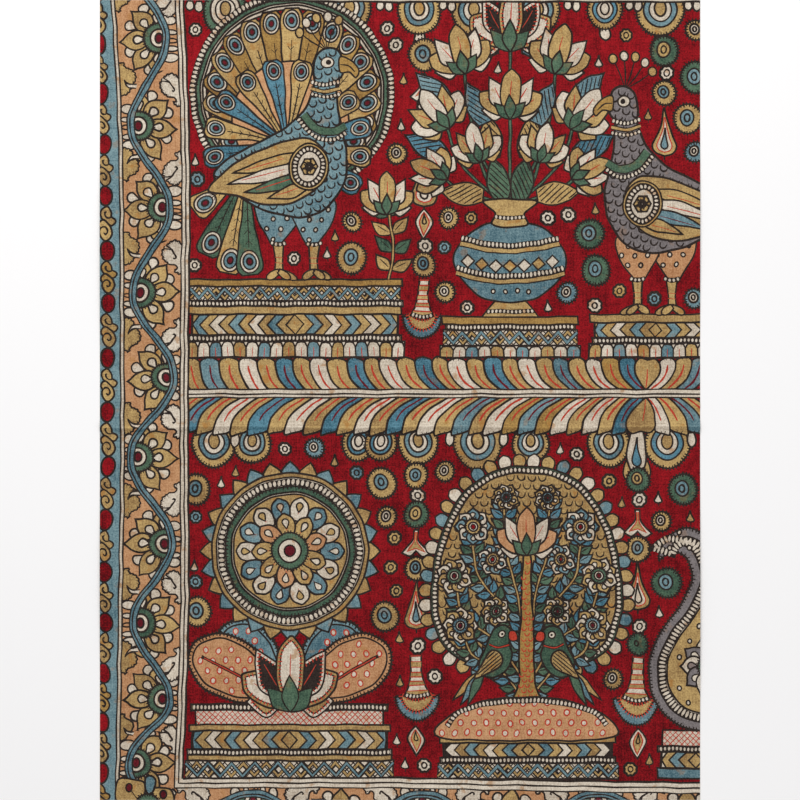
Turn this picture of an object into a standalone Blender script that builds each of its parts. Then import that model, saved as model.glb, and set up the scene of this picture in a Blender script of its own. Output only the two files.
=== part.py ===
"""A hand-painted kalamkari cotton panel, as one cut length of cloth lying flat.

The cloth is one solid. It lies on the surface z = 0, keeps a soft crease across it where it was folded
for storage, and lifts a little at its edges. Metres, +Z up, +Y towards the top of the painted design.
"""

import math

import bmesh
import bpy

# Size of the cut length.
PANEL_WIDTH = 0.540
PANEL_LENGTH = 0.720
CLOTH_THICKNESS = 0.0010

# The cloth is laid out in cells, with extra rows close to each crease.
CELLS_ACROSS = 24
CELLS_ALONG = 40
CREASE_ROWS = (-0.009, -0.006, -0.004, -0.002, 0.0, 0.002, 0.004, 0.006, 0.009)

# Creases run along X and stand up as soft ridges.
# name, y, x where it begins, x where it ends, height, half width, waver in y
CREASES = (
    ("storage_fold", -0.0243, -0.300, 0.300, 0.0018, 0.0080, 0.0008),
    ("second_fold", -0.0054, 0.150, 0.300, 0.0006, 0.0050, 0.0004),
)
WAVER_LENGTH = 0.190
CREASE_FADE = 0.030

# Places where the cloth lifts off the surface. The four corners lie flat.
# name, x, y, reach in x, reach in y, height
LIFTS = (
    ("top_edge_left", -0.110, 0.366, 0.100, 0.040, 0.0018),
    ("top_edge_right", 0.145, 0.368, 0.090, 0.034, 0.0014),
    ("bottom_edge_left", -0.150, -0.368, 0.075, 0.030, 0.0012),
    ("bottom_edge_right", 0.060, -0.366, 0.130, 0.038, 0.0019),
    ("left_edge_high", -0.276, 0.135, 0.042, 0.110, 0.0022),
    ("left_edge_low", -0.276, -0.160, 0.036, 0.090, 0.0017),
    ("right_edge_high", 0.276, 0.150, 0.034, 0.100, 0.0015),
    ("right_edge_low", 0.276, -0.185, 0.046, 0.120, 0.0024),
    ("upper_field", 0.075, 0.170, 0.105, 0.052, 0.0008),
    ("lower_field", -0.085, -0.205, 0.090, 0.060, 0.0007),
)

MADDER_RED = (0.62, 0.12, 0.10, 1.0)


def crease_height(x, y, crease):
    """Height of one crease at a point: a soft ridge that fades out at its two ends."""
    _, crease_y, start, end, height, half_width, waver = crease
    middle = crease_y + waver * math.sin(2 * math.pi * x / WAVER_LENGTH)
    across = abs(y - middle) / half_width
    if across >= 1:
        return 0.0
    along = max(0.0, min(1.0, (x - start) / CREASE_FADE, (end - x) / CREASE_FADE))
    return height * along * (1 - across) ** 1.5


def lift_height(x, y, lift):
    """Height of one lifted place at a point: a smooth swell that ends at its reach."""
    _, lift_x, lift_y, reach_x, reach_y, height = lift
    away = ((x - lift_x) / reach_x) ** 2 + ((y - lift_y) / reach_y) ** 2
    if away >= 1:
        return 0.0
    return height * (1 - away) ** 2


def underside_height(x, y):
    """Height of the cloth's underside above the surface, which is 0 wherever it rests."""
    creases = sum(crease_height(x, y, crease) for crease in CREASES)
    lifts = sum(lift_height(x, y, lift) for lift in LIFTS)
    return creases + lifts


def clear_scene():
    for old in list(bpy.data.objects):
        bpy.data.objects.remove(old, do_unlink=True)


def cotton_material():
    material = bpy.data.materials.new("dyed_cotton")
    material.use_nodes = True
    shader = material.node_tree.nodes["Principled BSDF"]
    shader.inputs["Base Color"].default_value = MADDER_RED
    shader.inputs["Roughness"].default_value = 0.92
    shader.inputs["Metallic"].default_value = 0.0
    return material


def lay_out_cells(sheet):
    """A flat rectangle of cells, cut once more along the rows that shape each crease."""
    bmesh.ops.create_grid(sheet, x_segments=CELLS_ACROSS, y_segments=CELLS_ALONG, size=0.5)
    bmesh.ops.scale(sheet, vec=(PANEL_WIDTH, PANEL_LENGTH, 1.0), verts=sheet.verts)
    for _, crease_y, *_ in CREASES:
        for row in CREASE_ROWS:
            bmesh.ops.bisect_plane(
                sheet,
                geom=sheet.verts[:] + sheet.edges[:] + sheet.faces[:],
                dist=0.0004,
                plane_co=(0.0, crease_y + row, 0.0),
                plane_no=(0.0, 1.0, 0.0),
            )


def cloth_panel():
    """The panel: its underside follows the creases and lifts, and its face lies one thickness above."""
    sheet = bmesh.new()
    lay_out_cells(sheet)
    for corner in sheet.verts:
        corner.co.z = underside_height(corner.co.x, corner.co.y)
    raised = bmesh.ops.extrude_face_region(sheet, geom=sheet.faces[:])
    face_corners = [item for item in raised["geom"] if isinstance(item, bmesh.types.BMVert)]
    bmesh.ops.translate(sheet, vec=(0.0, 0.0, CLOTH_THICKNESS), verts=face_corners)
    bmesh.ops.recalc_face_normals(sheet, faces=sheet.faces[:])

    mesh = bpy.data.meshes.new("cloth_panel")
    sheet.to_mesh(mesh)
    sheet.free()
    mesh.materials.append(cotton_material())
    mesh.shade_smooth()
    mesh.set_sharp_from_angle(angle=math.radians(40))
    panel = bpy.data.objects.new("cloth_panel", mesh)
    bpy.context.scene.collection.objects.link(panel)
    return panel


clear_scene()
cloth_panel()
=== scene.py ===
"""A kalamkari panel: one cut length of plain-weave cotton, drawn with a pen and painted with plant dyes.

The cloth is one closed sheet that lies in its storage crease. Its painted face is a triangulation of the
drawing itself, so every pen line and every patch of dye is a patch of mesh with the material of that dye.
The drawing is worked out in millimetres on the flat cloth, as complex numbers: x to the right of the design
and y towards its top, measured from the middle of the panel.
"""

import cmath
import math
import random

import bpy
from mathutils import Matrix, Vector
from mathutils.bvhtree import BVHTree
from mathutils.geometry import delaunay_2d_cdt


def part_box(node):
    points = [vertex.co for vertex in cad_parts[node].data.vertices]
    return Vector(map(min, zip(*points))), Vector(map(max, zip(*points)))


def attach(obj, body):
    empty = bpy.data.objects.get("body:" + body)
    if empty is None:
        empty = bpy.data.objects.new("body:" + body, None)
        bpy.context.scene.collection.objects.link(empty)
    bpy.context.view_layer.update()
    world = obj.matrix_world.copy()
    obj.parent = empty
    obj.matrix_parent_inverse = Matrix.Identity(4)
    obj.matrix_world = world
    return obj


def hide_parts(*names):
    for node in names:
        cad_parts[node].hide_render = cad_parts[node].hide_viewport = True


bl_info = {
    "name": "Kalamkari Panel",
    "version": (1, 0, 0),
    "blender": (4, 5, 0),
    "location": "3D View > Sidebar > Kalamkari",
    "description": "Lays out a hand-painted cotton panel with its drawing, dyes, creases and stage",
    "category": "Object",
}

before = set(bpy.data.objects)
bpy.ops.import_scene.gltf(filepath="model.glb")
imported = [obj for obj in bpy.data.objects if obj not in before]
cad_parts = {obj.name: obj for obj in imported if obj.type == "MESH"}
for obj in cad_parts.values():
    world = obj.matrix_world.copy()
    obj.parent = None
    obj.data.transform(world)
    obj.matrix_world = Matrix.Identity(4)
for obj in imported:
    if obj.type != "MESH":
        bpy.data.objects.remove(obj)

MM = 0.001
CLOTH_NODE = "cloth_panel"
BOX_LOW, BOX_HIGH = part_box(CLOTH_NODE)
PANEL_WIDTH = round(BOX_HIGH[0] - BOX_LOW[0], 4)
PANEL_LENGTH = round(BOX_HIGH[1] - BOX_LOW[1], 4)
RIGHT = PANEL_WIDTH / MM / 2
TOP = PANEL_LENGTH / MM / 2
LEFT, BOTTOM = -RIGHT, -TOP

# Creases run along X and stand up as soft ridges.
# name, y, x where it begins, x where it ends, height, half width, waver in y
CREASES = (
    ("storage_fold", -0.0243, -0.300, 0.300, 0.0018, 0.0080, 0.0008),
    ("second_fold", -0.0054, 0.150, 0.300, 0.0006, 0.0050, 0.0004),
)
WAVER_LENGTH = 0.190
CREASE_FADE = 0.030
# Places where the cloth lifts off the surface. The four corners lie flat.
# name, x, y, reach in x, reach in y, height
LIFTS = (
    ("top_edge_left", -0.110, 0.366, 0.100, 0.040, 0.0018),
    ("top_edge_right", 0.145, 0.368, 0.090, 0.034, 0.0014),
    ("bottom_edge_left", -0.150, -0.368, 0.075, 0.030, 0.0012),
    ("bottom_edge_right", 0.060, -0.366, 0.130, 0.038, 0.0019),
    ("left_edge_high", -0.276, 0.135, 0.042, 0.110, 0.0022),
    ("left_edge_low", -0.276, -0.160, 0.036, 0.090, 0.0017),
    ("right_edge_high", 0.276, 0.150, 0.034, 0.100, 0.0015),
    ("right_edge_low", 0.276, -0.185, 0.046, 0.120, 0.0024),
    ("upper_field", 0.075, 0.170, 0.105, 0.052, 0.0008),
    ("lower_field", -0.085, -0.205, 0.090, 0.060, 0.0007),
)

# The dyes, in the order of the cloth's material slots.
RED, OCHRE, AMBER, BLUE, INDIGO, CREAM, INK, PEACH, GREEN, GREY, MAROON, SCARLET = range(12)

PEN = 1.25
# The iron ink spreads in the cotton beside the pen's own line.
BLEED = 1.34
SEED = 1187


def unit(step):
    """A step of length one in the same direction."""
    return step / abs(step) if step else 1 + 0j


def signed_area(outline):
    following = outline[1:] + outline[:1]
    return sum((a.conjugate() * b).imag for a, b in zip(outline, following)) / 2


def tidy(outline, closest=0.14):
    """A closed outline with its points a little apart, turning counter-clockwise."""
    kept = []
    for point in outline:
        if not kept or abs(point - kept[-1]) > closest:
            kept.append(point)
    while len(kept) > 2 and abs(kept[0] - kept[-1]) <= closest:
        kept.pop()
    if len(kept) < 3:
        return []
    return kept if signed_area(kept) > 0 else kept[::-1]


def offset(outline, distance):
    """A closed outline moved outwards, or inwards by a negative distance, with its corners kept."""
    outline = tidy(outline)
    count = len(outline)
    moved = []
    for i, point in enumerate(outline):
        before = unit(point - outline[i - 1])
        after = unit(outline[(i + 1) % count] - point)
        middle = unit(before + after) if abs(before + after) > 0.3 else before
        spread = max(0.5, (before.conjugate() * middle).real)
        moved.append(point - 1j * middle * distance / spread)
    kept = []
    for i in range(count):
        was = outline[(i + 1) % count] - outline[i]
        now = moved[(i + 1) % count] - moved[i]
        if (was.conjugate() * now).real > 0:
            kept.append(moved[i])
    return kept


def oval(centre, across, along=None, turn=0.0, step=1.9):
    """A closed ellipse with these half sizes, turned by an angle in degrees."""
    along = across if along is None else along
    count = max(7, math.ceil(math.tau * max(across, along) / step))
    spin = cmath.rect(1, math.radians(turn))
    angles = [math.tau * i / count for i in range(count)]
    return [centre + spin * complex(across * math.cos(a), along * math.sin(a)) for a in angles]


def curve(points, closed=False, step=2.2):
    """A smooth line through the given points (Catmull-Rom)."""
    points = [complex(p) if isinstance(p, (int, float, complex)) else complex(*p) for p in points]
    count = len(points)
    line = []
    for i in range(count if closed else count - 1):
        if closed:
            before, start, end, after = (points[(i + k) % count] for k in (-1, 0, 1, 2))
        else:
            start, end = points[i], points[i + 1]
            before = points[i - 1] if i else 2 * start - end
            after = points[i + 2] if i + 2 < count else 2 * end - start
        pieces = max(2, math.ceil(abs(end - start) / step))
        for k in range(pieces):
            t = k / pieces
            line.append(
                0.5 * (
                    2 * start + (end - before) * t
                    + (2 * before - 5 * start + 4 * end - after) * t * t
                    + (3 * start - before - 3 * end + after) * t * t * t
                )
            )
    if not closed:
        line.append(points[-1])
    return line


def evenly(line, pitch, closed=False):
    """Points and directions along a line, about one pitch apart, the first half a pitch in."""
    if closed:
        line = list(line) + [line[0]]
    lengths = [abs(b - a) for a, b in zip(line, line[1:])]
    whole = sum(lengths)
    count = max(1, round(whole / pitch))
    found, i, passed = [], 0, 0.0
    for k in range(count):
        wanted = (k + 0.5) * whole / count
        while i < len(lengths) - 1 and passed + lengths[i] < wanted:
            passed += lengths[i]
            i += 1
        direction = unit(line[i + 1] - line[i])
        found.append((line[i] + direction * (wanted - passed), direction))
    return found


def inside(point, outline, room=None):
    """Is the point within a closed outline? Its room is its lowest and highest corner, where known."""
    low, high = room or (point, point)
    if not (low.real <= point.real <= high.real and low.imag <= point.imag <= high.imag):
        return False
    hit = False
    for a, b in zip(outline, outline[1:] + outline[:1]):
        if (a.imag > point.imag) != (b.imag > point.imag):
            if point.real < a.real + (point.imag - a.imag) * (b.real - a.real) / (b.imag - a.imag):
                hit = not hit
    return hit


# Half widths of a drop-like shape along its length, as shares of its full width: where, half width.
PETAL = ((0, 0.26), (0.2, 0.42), (0.5, 0.5), (0.78, 0.42), (0.93, 0.2), (1, 0.04))
LEAF = ((0, 0.03), (0.2, 0.32), (0.45, 0.5), (0.75, 0.28), (1, 0))
DROP = ((0, 0.02), (0.3, 0.13), (0.58, 0.34), (0.8, 0.5), (0.94, 0.36), (1, 0))
BUD = ((0, 0.3), (0.3, 0.46), (0.62, 0.5), (0.88, 0.32), (1, 0))
VINE_PETAL = ((0, 0.3), (0.2, 0.46), (0.45, 0.5), (0.7, 0.36), (0.88, 0.12), (1, 0))
SEED_DROP = ((0, 0.04), (0.3, 0.3), (0.68, 0.5), (0.92, 0.3), (1, 0))
FAN = ((0, 0.08), (0.4, 0.2), (0.75, 0.44), (0.93, 0.5), (1, 0.3))


def spindle(root, tip, width, profile=PETAL, bend=0.0, step=2.2):
    """A closed petal, leaf or drop from its root to its tip. A bend pushes its middle to the left."""
    axis = tip - root
    side = 1j * unit(axis)

    def spot(t, half):
        return root + axis * t + side * (4 * bend * t * (1 - t) + half * width)

    left = curve([spot(t, half) for t, half in profile], step=step)
    right = curve([spot(t, -half) for t, half in profile], step=step)
    return left + right[::-1]


class Place:
    """Moves a motif's own points to its place on the cloth, turned, sized or mirrored."""

    def __init__(self, x, y, turn=0.0, size=1.0, mirror=False):
        self.at = complex(x, y)
        self.spin = cmath.rect(size, math.radians(turn))
        self.size = size
        self.mirror = mirror

    def __call__(self, point, y=None):
        if isinstance(point, list):
            return [self(one) for one in point]
        if isinstance(point, tuple):
            point, y = point
        point = complex(point) if y is None else complex(point, y)
        if self.mirror:
            point = complex(-point.real, point.imag)
        return self.at + self.spin * point

    def shape(self, points, step=2.4):
        """A smooth closed outline through a motif's own points."""
        return self(curve(points, closed=True, step=step))

    def line(self, points, step=2.4):
        """A smooth open line through a motif's own points."""
        return self(curve(points, step=step))


def box(x0, y0, x1, y1, step=9.0):
    """A closed rectangle with points along its sides, so that the hand shows in them."""
    corners = [complex(x0, y0), complex(x1, y0), complex(x1, y1), complex(x0, y1)]
    sides = []
    for a, b in zip(corners, corners[1:] + corners[:1]):
        count = max(1, round(abs(b - a) / step))
        sides += [a + (b - a) * i / count for i in range(count)]
    return sides


def clipped(start, end, outline):
    """The parts of a straight line that lie within a closed outline."""
    run = end - start
    cuts = [0.0, 1.0]
    for a, b in zip(outline, outline[1:] + outline[:1]):
        cross = (run.conjugate() * (b - a)).imag
        if abs(cross) < 1e-9:
            continue
        t = ((a - start).conjugate() * (b - a)).imag / cross
        if 0 < t < 1 and 0 <= ((a - start).conjugate() * run).imag / cross < 1:
            cuts.append(t)
    cuts.sort()
    parts = []
    for a, b in zip(cuts, cuts[1:]):
        if (b - a) * abs(run) > 0.8 and inside(start + run * (a + b) / 2, outline):
            parts.append((start + run * a, start + run * b))
    return parts


def staggered(outline, pitch, margin, turn=0.0):
    """Points in staggered rows within a closed outline, at least a margin from it."""
    room = offset(outline, -margin)
    if len(room) < 3:
        return []
    spin = cmath.rect(1, math.radians(turn))
    room = [p / spin for p in room]
    low, high = min(p.imag for p in room), max(p.imag for p in room)
    left, right = min(p.real for p in room), max(p.real for p in room)
    found = []
    for row in range(int((high - low) / (pitch * 0.8)) + 1):
        y = low + pitch * (0.3 + 0.8 * row)
        for column in range(int((right - left) / pitch) + 1):
            point = complex(left + pitch * (column + (0.75 if row % 2 else 0.25)), y)
            if inside(point, room):
                found.append(point * spin)
    return found


def drawn(point):
    """Where a hand puts a point: nearly where it was meant to be."""
    x, y = point.real, point.imag
    across = 0.34 * math.sin(y / 8.7 + x / 21) + 0.28 * math.sin(y / 3.9 - x / 9.5 + 1.3)
    along = 0.34 * math.sin(x / 9.4 - y / 24 + 0.7) + 0.28 * math.sin(x / 4.1 + y / 8.8 + 2.1)
    return complex(x + across, y + along)


def well_begun(outline):
    """The same counter-clockwise outline, begun at an outermost corner.

    The triangulation takes the left of the first side for the inside, also where a hand-drawn outline
    crosses itself, so the first side may not lie on a small loop.
    """
    count = range(len(outline))
    for ahead in (-1j, 1j, -1, 1):
        k = max(count, key=lambda i: (outline[i].conjugate() * ahead).real)
        before, after = outline[k] - outline[k - 1], outline[(k + 1) % len(outline)] - outline[k]
        if (before.conjugate() * after).imag > 0:
            return outline[k:] + outline[:k]
    return outline


CELL = 2.0


class Painting:
    """The drawing: patches of dye in the order in which they are painted, the first lowest."""

    def __init__(self, seed):
        self.hand = random.Random(seed)
        self.corners = []
        self.patches = []
        self.taken = set()

    def mark(self, outline):
        """Notes the cells of the ground that an outline covers."""
        heights = [p.imag for p in outline]
        for p in outline:
            self.taken.add((round(p.real / CELL), round(p.imag / CELL)))
        for j in range(math.ceil(min(heights) / CELL), math.floor(max(heights) / CELL) + 1):
            y = j * CELL
            cuts = []
            for a, b in zip(outline, outline[1:] + outline[:1]):
                if (a.imag > y) != (b.imag > y):
                    cuts.append(a.real + (y - a.imag) * (b.real - a.real) / (b.imag - a.imag))
            cuts.sort()
            for left, right in zip(cuts[::2], cuts[1::2]):
                for i in range(math.ceil(left / CELL), math.floor(right / CELL) + 1):
                    self.taken.add((i, j))

    def vary(self, value, share=0.08):
        """A value with the unevenness of handwork."""
        return value * (1 + self.hand.uniform(-share, share))

    def fill(self, outline, dye, dip=None):
        """Paints a closed outline."""
        outline = tidy(outline)
        if not outline:
            return
        reach = 2.0
        if all(p.real > RIGHT + reach for p in outline) or all(p.imag < BOTTOM - reach for p in outline):
            return
        if all(p.real < LEFT - reach for p in outline) or all(p.imag > TOP + reach for p in outline):
            return
        self.mark(outline)
        start = len(self.corners)
        self.corners += well_begun([drawn(p) for p in outline])
        dip = self.hand.uniform(-1, 1) if dip is None else dip
        self.patches.append((start, len(outline), dye, dip))

    def outlined(self, outline, dye, line=PEN, ink=INK):
        """Paints a closed outline and draws round it with the pen."""
        line = self.vary(line * (BLEED if ink == INK else 1.1), 0.14)
        self.fill(offset(outline, line * 0.55), ink)
        self.fill(offset(outline, -line * 0.45), dye)

    def stroke(self, line, width=PEN, dye=INK, closed=False, taper=0.5, dip=0.0):
        """Draws an open or closed pen line, thinner at its free ends."""
        line = [p for i, p in enumerate(line) if not i or abs(p - line[i - 1]) > 0.12]
        count = len(line)
        if count < 2:
            return
        width *= BLEED if dye == INK and width < 2.4 else 1
        width = self.vary(width, min(0.12, 0.25 / width))
        sway = min(0.16, 0.3 / width)
        phase = self.hand.uniform(0, math.tau)
        left, right = [], []
        for i, point in enumerate(line):
            before = line[i - 1] if i or closed else 2 * point - line[1]
            after = line[(i + 1) % count] if closed or i < count - 1 else 2 * point - line[i - 1]
            middle = unit(unit(point - before) + unit(after - point))
            spread = max(0.55, (unit(point - before).conjugate() * middle).real)
            ends = 1 if closed else min(1, taper + min(i, count - 1 - i) / 3)
            half = width / 2 * ends * (1 + sway * math.sin(phase + 1.3 * i)) / spread
            left.append(point + 1j * middle * half)
            right.append(point - 1j * middle * half)
        for i in range(count if closed else count - 1):
            k = (i + 1) % count
            run = line[k] - line[i]
            corners = [right[i], right[k], left[k], left[i]]
            if (run.conjugate() * (right[k] - right[i])).real <= 0:
                corners = [right[i], left[k], left[i]]
            elif (run.conjugate() * (left[k] - left[i])).real <= 0:
                corners = [right[i], right[k], left[i]]
            self.fill(corners, dye, dip)

    def ribbon(self, line, width, core, dye):
        """Draws a coloured line between two pen lines."""
        self.stroke(line, width, taper=1)
        self.stroke(line, core, dye, taper=1)


def between(start, end, *shares):
    """Points at these shares of the way from start to end."""
    return [start + (end - start) * s for s in shares]


def flipped(points):
    """The same points at the other side of x = 0, the last one first."""
    return [complex(-p.real, p.imag) for p in points[::-1]]


def fringe(art, outline, depth=2.3, pitch=2.6, width=1.0, dye=INK):
    """Short pen ticks across a closed outline, a little outside it and mostly inside."""
    for point, direction in evenly(tidy(outline), pitch, closed=True):
        inward = 1j * direction
        half = direction * art.vary(width * 1.5, 0.2) / 2
        point -= inward * 2.1
        tip = point + inward * art.vary(depth + 1.7, 0.16) + direction * art.hand.uniform(-0.4, 0.4)
        art.fill([point - half * 0.8, point + half * 0.8, tip + half * 0.7, tip - half * 0.7], dye, 0.0)


def pearls(art, line, width, closed=False, pitch=3.5, dye=CREAM):
    """A row of painted pearls, set on a band of ink."""
    art.stroke(line, width + 0.9, closed=closed, taper=1)
    for point, direction in evenly(line, pitch, closed):
        half = (pitch - art.vary(1.25, 0.15)) / 2
        turn = math.degrees(cmath.phase(direction))
        art.fill(oval(point, half, art.vary(width, 0.08) / 2, turn, step=2.0), dye)


def scalloped(centre, radius, lobes, depth=0.1):
    """A closed outline with rounded lobes."""
    count = lobes * 4
    return [
        centre + cmath.rect(radius * (1 - depth + depth * abs(math.sin(lobes * a / 2)) * 2), a)
        for a in (math.tau * i / count for i in range(count))
    ]


def little_rosette(art, centre, radius=5.8, dye=CREAM):
    """A small scalloped rosette with a ring in it, of the kind that is strewn over the red ground."""
    art.outlined(scalloped(centre, art.vary(radius), 8, 0.07), dye, 1.6)
    ring = oval(centre, radius * 0.4, radius * 0.46, step=1.5)
    art.stroke(ring, 1.1, closed=True)


def bell(art, top, length, width):
    """A hanging bell flower with two flaring lobes and scarlet lines inside."""
    place = Place(top.real, top.imag)
    half = width / 2
    outline = curve([(-1.8, 0), (-2.6, -length * 0.4), (-half, -length * 0.86)], step=2.5)
    outline += curve([(-half, -length * 0.86), (-half * 0.45, -length), (0, -length * 0.8)], step=2.0)[1:]
    outline += flipped(outline)[1:]
    art.outlined(place(outline), CREAM)
    inner = curve([(-0.9, -length * 0.1), (-1.4, -length * 0.45), (-half * 0.62, -length * 0.82)])
    inner += flipped(inner)
    inner.insert(len(inner) // 2, complex(0, -length * 0.7))
    art.outlined(place(inner), OCHRE, 0.9, SCARLET)


def banded(art, outline, steps, line=PEN):
    """Nested outlines: how far in, and the dye."""
    for inset, dye in steps:
        shape = offset(outline, -inset) if inset else outline
        if len(shape) > 3:
            art.outlined(shape, dye, line)


def dots(art, outline, pitch=11.5, across=1.9, along=2.4, dye=CREAM, ink=INK):
    """Polka dots with a pen line round each."""
    for point in staggered(outline, pitch, along + 0.9):
        point += complex(art.hand.uniform(-0.5, 0.5), art.hand.uniform(-0.5, 0.5))
        tilt = art.hand.uniform(-25, 25)
        art.outlined(oval(point, art.vary(across), art.vary(along), tilt, step=1.7), dye, 1.05, ink)


def scales(art, outline, pitch=8.0, turn=0.0, dye=INK, line=1.1):
    """Rows of small open scales."""
    for point in staggered(outline, pitch, 1.6, turn):
        place = Place(point.real, point.imag, turn, pitch / 8)
        art.stroke(place.line([(-2.9, 1.7), (-2.3, -1.1), (0, -2.3), (2.3, -1.1), (2.9, 1.7)], 3), line,
            dye)


def hatch(art, outline, pitch, angle, width=1.0, dye=INK, short=1.0):
    """Parallel pen lines within a closed outline."""
    turn = cmath.rect(1, math.radians(angle))
    spun = [p / turn for p in outline]
    low, high = min(p.imag for p in spun), max(p.imag for p in spun)
    left, right = min(p.real for p in spun) - 1, max(p.real for p in spun) + 1
    count = max(1, round((high - low) / pitch))
    for i in range(count):
        y = low + (high - low) * (i + 0.5) / count
        for a, b in clipped(complex(left, y), complex(right, y), spun):
            b = a + (b - a) * short
            art.stroke([a * turn, (a + b) / 2 * turn, b * turn], width, dye, taper=0.8)


def ruled_band(art, x0, x1, y0, y1, kind, dye):
    """One level of a platform: plain, pearls, chevrons, zigzag, tongues or net."""
    tall = y1 - y0
    art.outlined(box(x0, y0, x1, y1), CREAM if kind in ("zigzag", "net", "tongues") else dye)
    low, high = y0 + PEN / 2, y1 - PEN / 2
    if kind == "pearls":
        line = [complex(x0 + 1 + (x1 - x0 - 2) * i / 24, (y0 + y1) / 2) for i in range(25)]
        pearls(art, line, tall - 1.6)
    elif kind == "chevrons":
        pitch = 8.6
        cycle = (OCHRE, BLUE, OCHRE, CREAM)
        middle, tip = (x0 + x1) / 2, tall * 0.42
        for side in (-1, 1):
            for k in range(int((x1 - x0) / 2 / pitch), -1, -1):
                near, far = k * pitch, min((k + 1) * pitch, (x1 - x0) / 2 - PEN / 2)
                if far - near < 1.5:
                    continue
                outer = min(far + tip, (x1 - x0) / 2 - PEN / 2)
                inner = min(near + tip, (x1 - x0) / 2 - PEN / 2)
                shape = [(near, low), (far, low), (outer, (low + high) / 2), (far, high), (near, high)]
                if inner < outer:
                    shape.append((inner, (low + high) / 2))
                art.outlined([complex(middle + side * x, y) for x, y in shape], cycle[k % 4], 1.1)
    elif kind == "zigzag":
        count = max(1, round((x1 - x0) / (tall * 1.25)))
        pitch = (x1 - x0) / count
        for angle in (45, -45):
            hatch(art, box(x0 + 1, low, x1 - 1, high), 4.6, angle, 0.9)
        for start, colour in ((0, dye), (0.5, BLUE)):
            peaks = []
            for k in range(-1, 2 * count + 2):
                x = x0 + pitch * (k / 2 + start)
                if x0 - 0.1 <= x <= x1 + 0.1:
                    peaks.append(complex(x, (high - 1.6) if k % 2 else (low + 1.6)))
            art.ribbon(peaks, 3.7, 1.7, colour)
        art.stroke([complex(x0, y0), complex(x1, y0)], PEN, taper=1)
        art.stroke([complex(x0, y1), complex(x1, y1)], PEN, taper=1)
    elif kind == "tongues":
        count = max(1, round((x1 - x0) / 11.0))
        pitch = (x1 - x0) / count
        cycle = (OCHRE, CREAM, BLUE, CREAM)
        for k in range(count):
            a = x0 + k * pitch
            arch = [(a, low), (a, y0 + tall * 0.62), (a + pitch * 0.18, y0 + tall * 0.9),
                (a + pitch * 0.5, high)]
            arch += [(2 * a + pitch - x, y) for x, y in arch[-2::-1]]
            art.outlined([complex(*p) for p in arch], cycle[k % 4], 1.1)
            art.stroke([complex(a + pitch / 2, y0 + tall * s) for s in (0.06, 0.35, 0.62)], 1.1, SCARLET)
    elif kind == "net":
        for angle in (45, -45):
            hatch(art, box(x0 + 0.6, low, x1 - 0.6, high), 3.6, angle, 0.8, SCARLET)


def platform(art, x0, x1, foot, levels):
    """Levels on top of each other from the foot up: height, inset at each side, kind, dye. Gives its top."""
    y = foot
    for height, inset, kind, dye in levels:
        ruled_band(art, x0 + inset, x1 - inset, y, y + height, kind, dye)
        y += height
    return y


def half_rosette(art, x, y, outer=OCHRE, size=1.0, rings=(BLUE, CREAM, OCHRE)):
    """A hanging rosette whose upper half lies behind the rule or the leaves above it."""
    y = y - art.hand.uniform(-1, 1)
    rim = oval(complex(x, y), 19.2 * size, 21 * size)
    art.outlined(rim, outer)
    fringe(art, rim, 2.6, 2.9, 1.1)
    for dye, (across, along, up) in zip(rings, ((13.4, 14.6, 0.8), (8.9, 9.9, 0.8), (4.6, 6.6, 2.0))):
        art.outlined(oval(complex(x, y + up), across * size, along * size), dye)


def disc(art, x, y, radius, outer=OCHRE, core=BLUE):
    """A fringed disc with an eye in it."""
    rim = oval(complex(x, y), art.vary(radius, 0.04), art.vary(radius * 1.08, 0.04))
    art.outlined(rim, outer)
    fringe(art, rim, 2.4, 2.8, 1.1)
    if core is not None:
        art.outlined(oval(complex(x - 0.8, y + 1), radius * 0.48, radius * 0.56), core)
    art.stroke(oval(complex(x - 0.8, y + 1), radius * 0.2, radius * 0.27, step=1.6), 1.2, closed=True)


def drop(art, x, top, length, width, dyes):
    """A hanging drop: its dyes from the outside in, with a scarlet line inside the first."""
    root, tip = complex(x, top), complex(x, top - length)
    art.stroke([tip + 1j, tip - 2j, tip - 4j], 1.5)
    for i, dye in enumerate(dyes):
        near = root + (tip - root) * (0.0, 0.2, 0.42)[i]
        far = tip - (tip - root) * (0.0, 0.08, 0.15)[i]
        shape = spindle(near, far, width * (1.0, 0.62, 0.28)[i], DROP)
        art.outlined(shape, dye, PEN if i != 1 else 1.0, SCARLET if i == 1 else INK)


def flame(art, x, top, length, width, dyes=(CREAM, OCHRE)):
    """A hanging leaf that is pointed at both ends, with a scarlet line in it."""
    root, tip = complex(x, top), complex(x, top - length)
    art.outlined(spindle(root, tip, width, LEAF), dyes[0])
    art.outlined(spindle(root - 0.12j * length, tip + 0.14j * length, width * 0.56, LEAF), dyes[1], 1.0,
        SCARLET)
    art.outlined(spindle(root - 0.16j * length, root - 0.5j * length, width * 0.22, DROP), dyes[1], 1.0)


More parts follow.
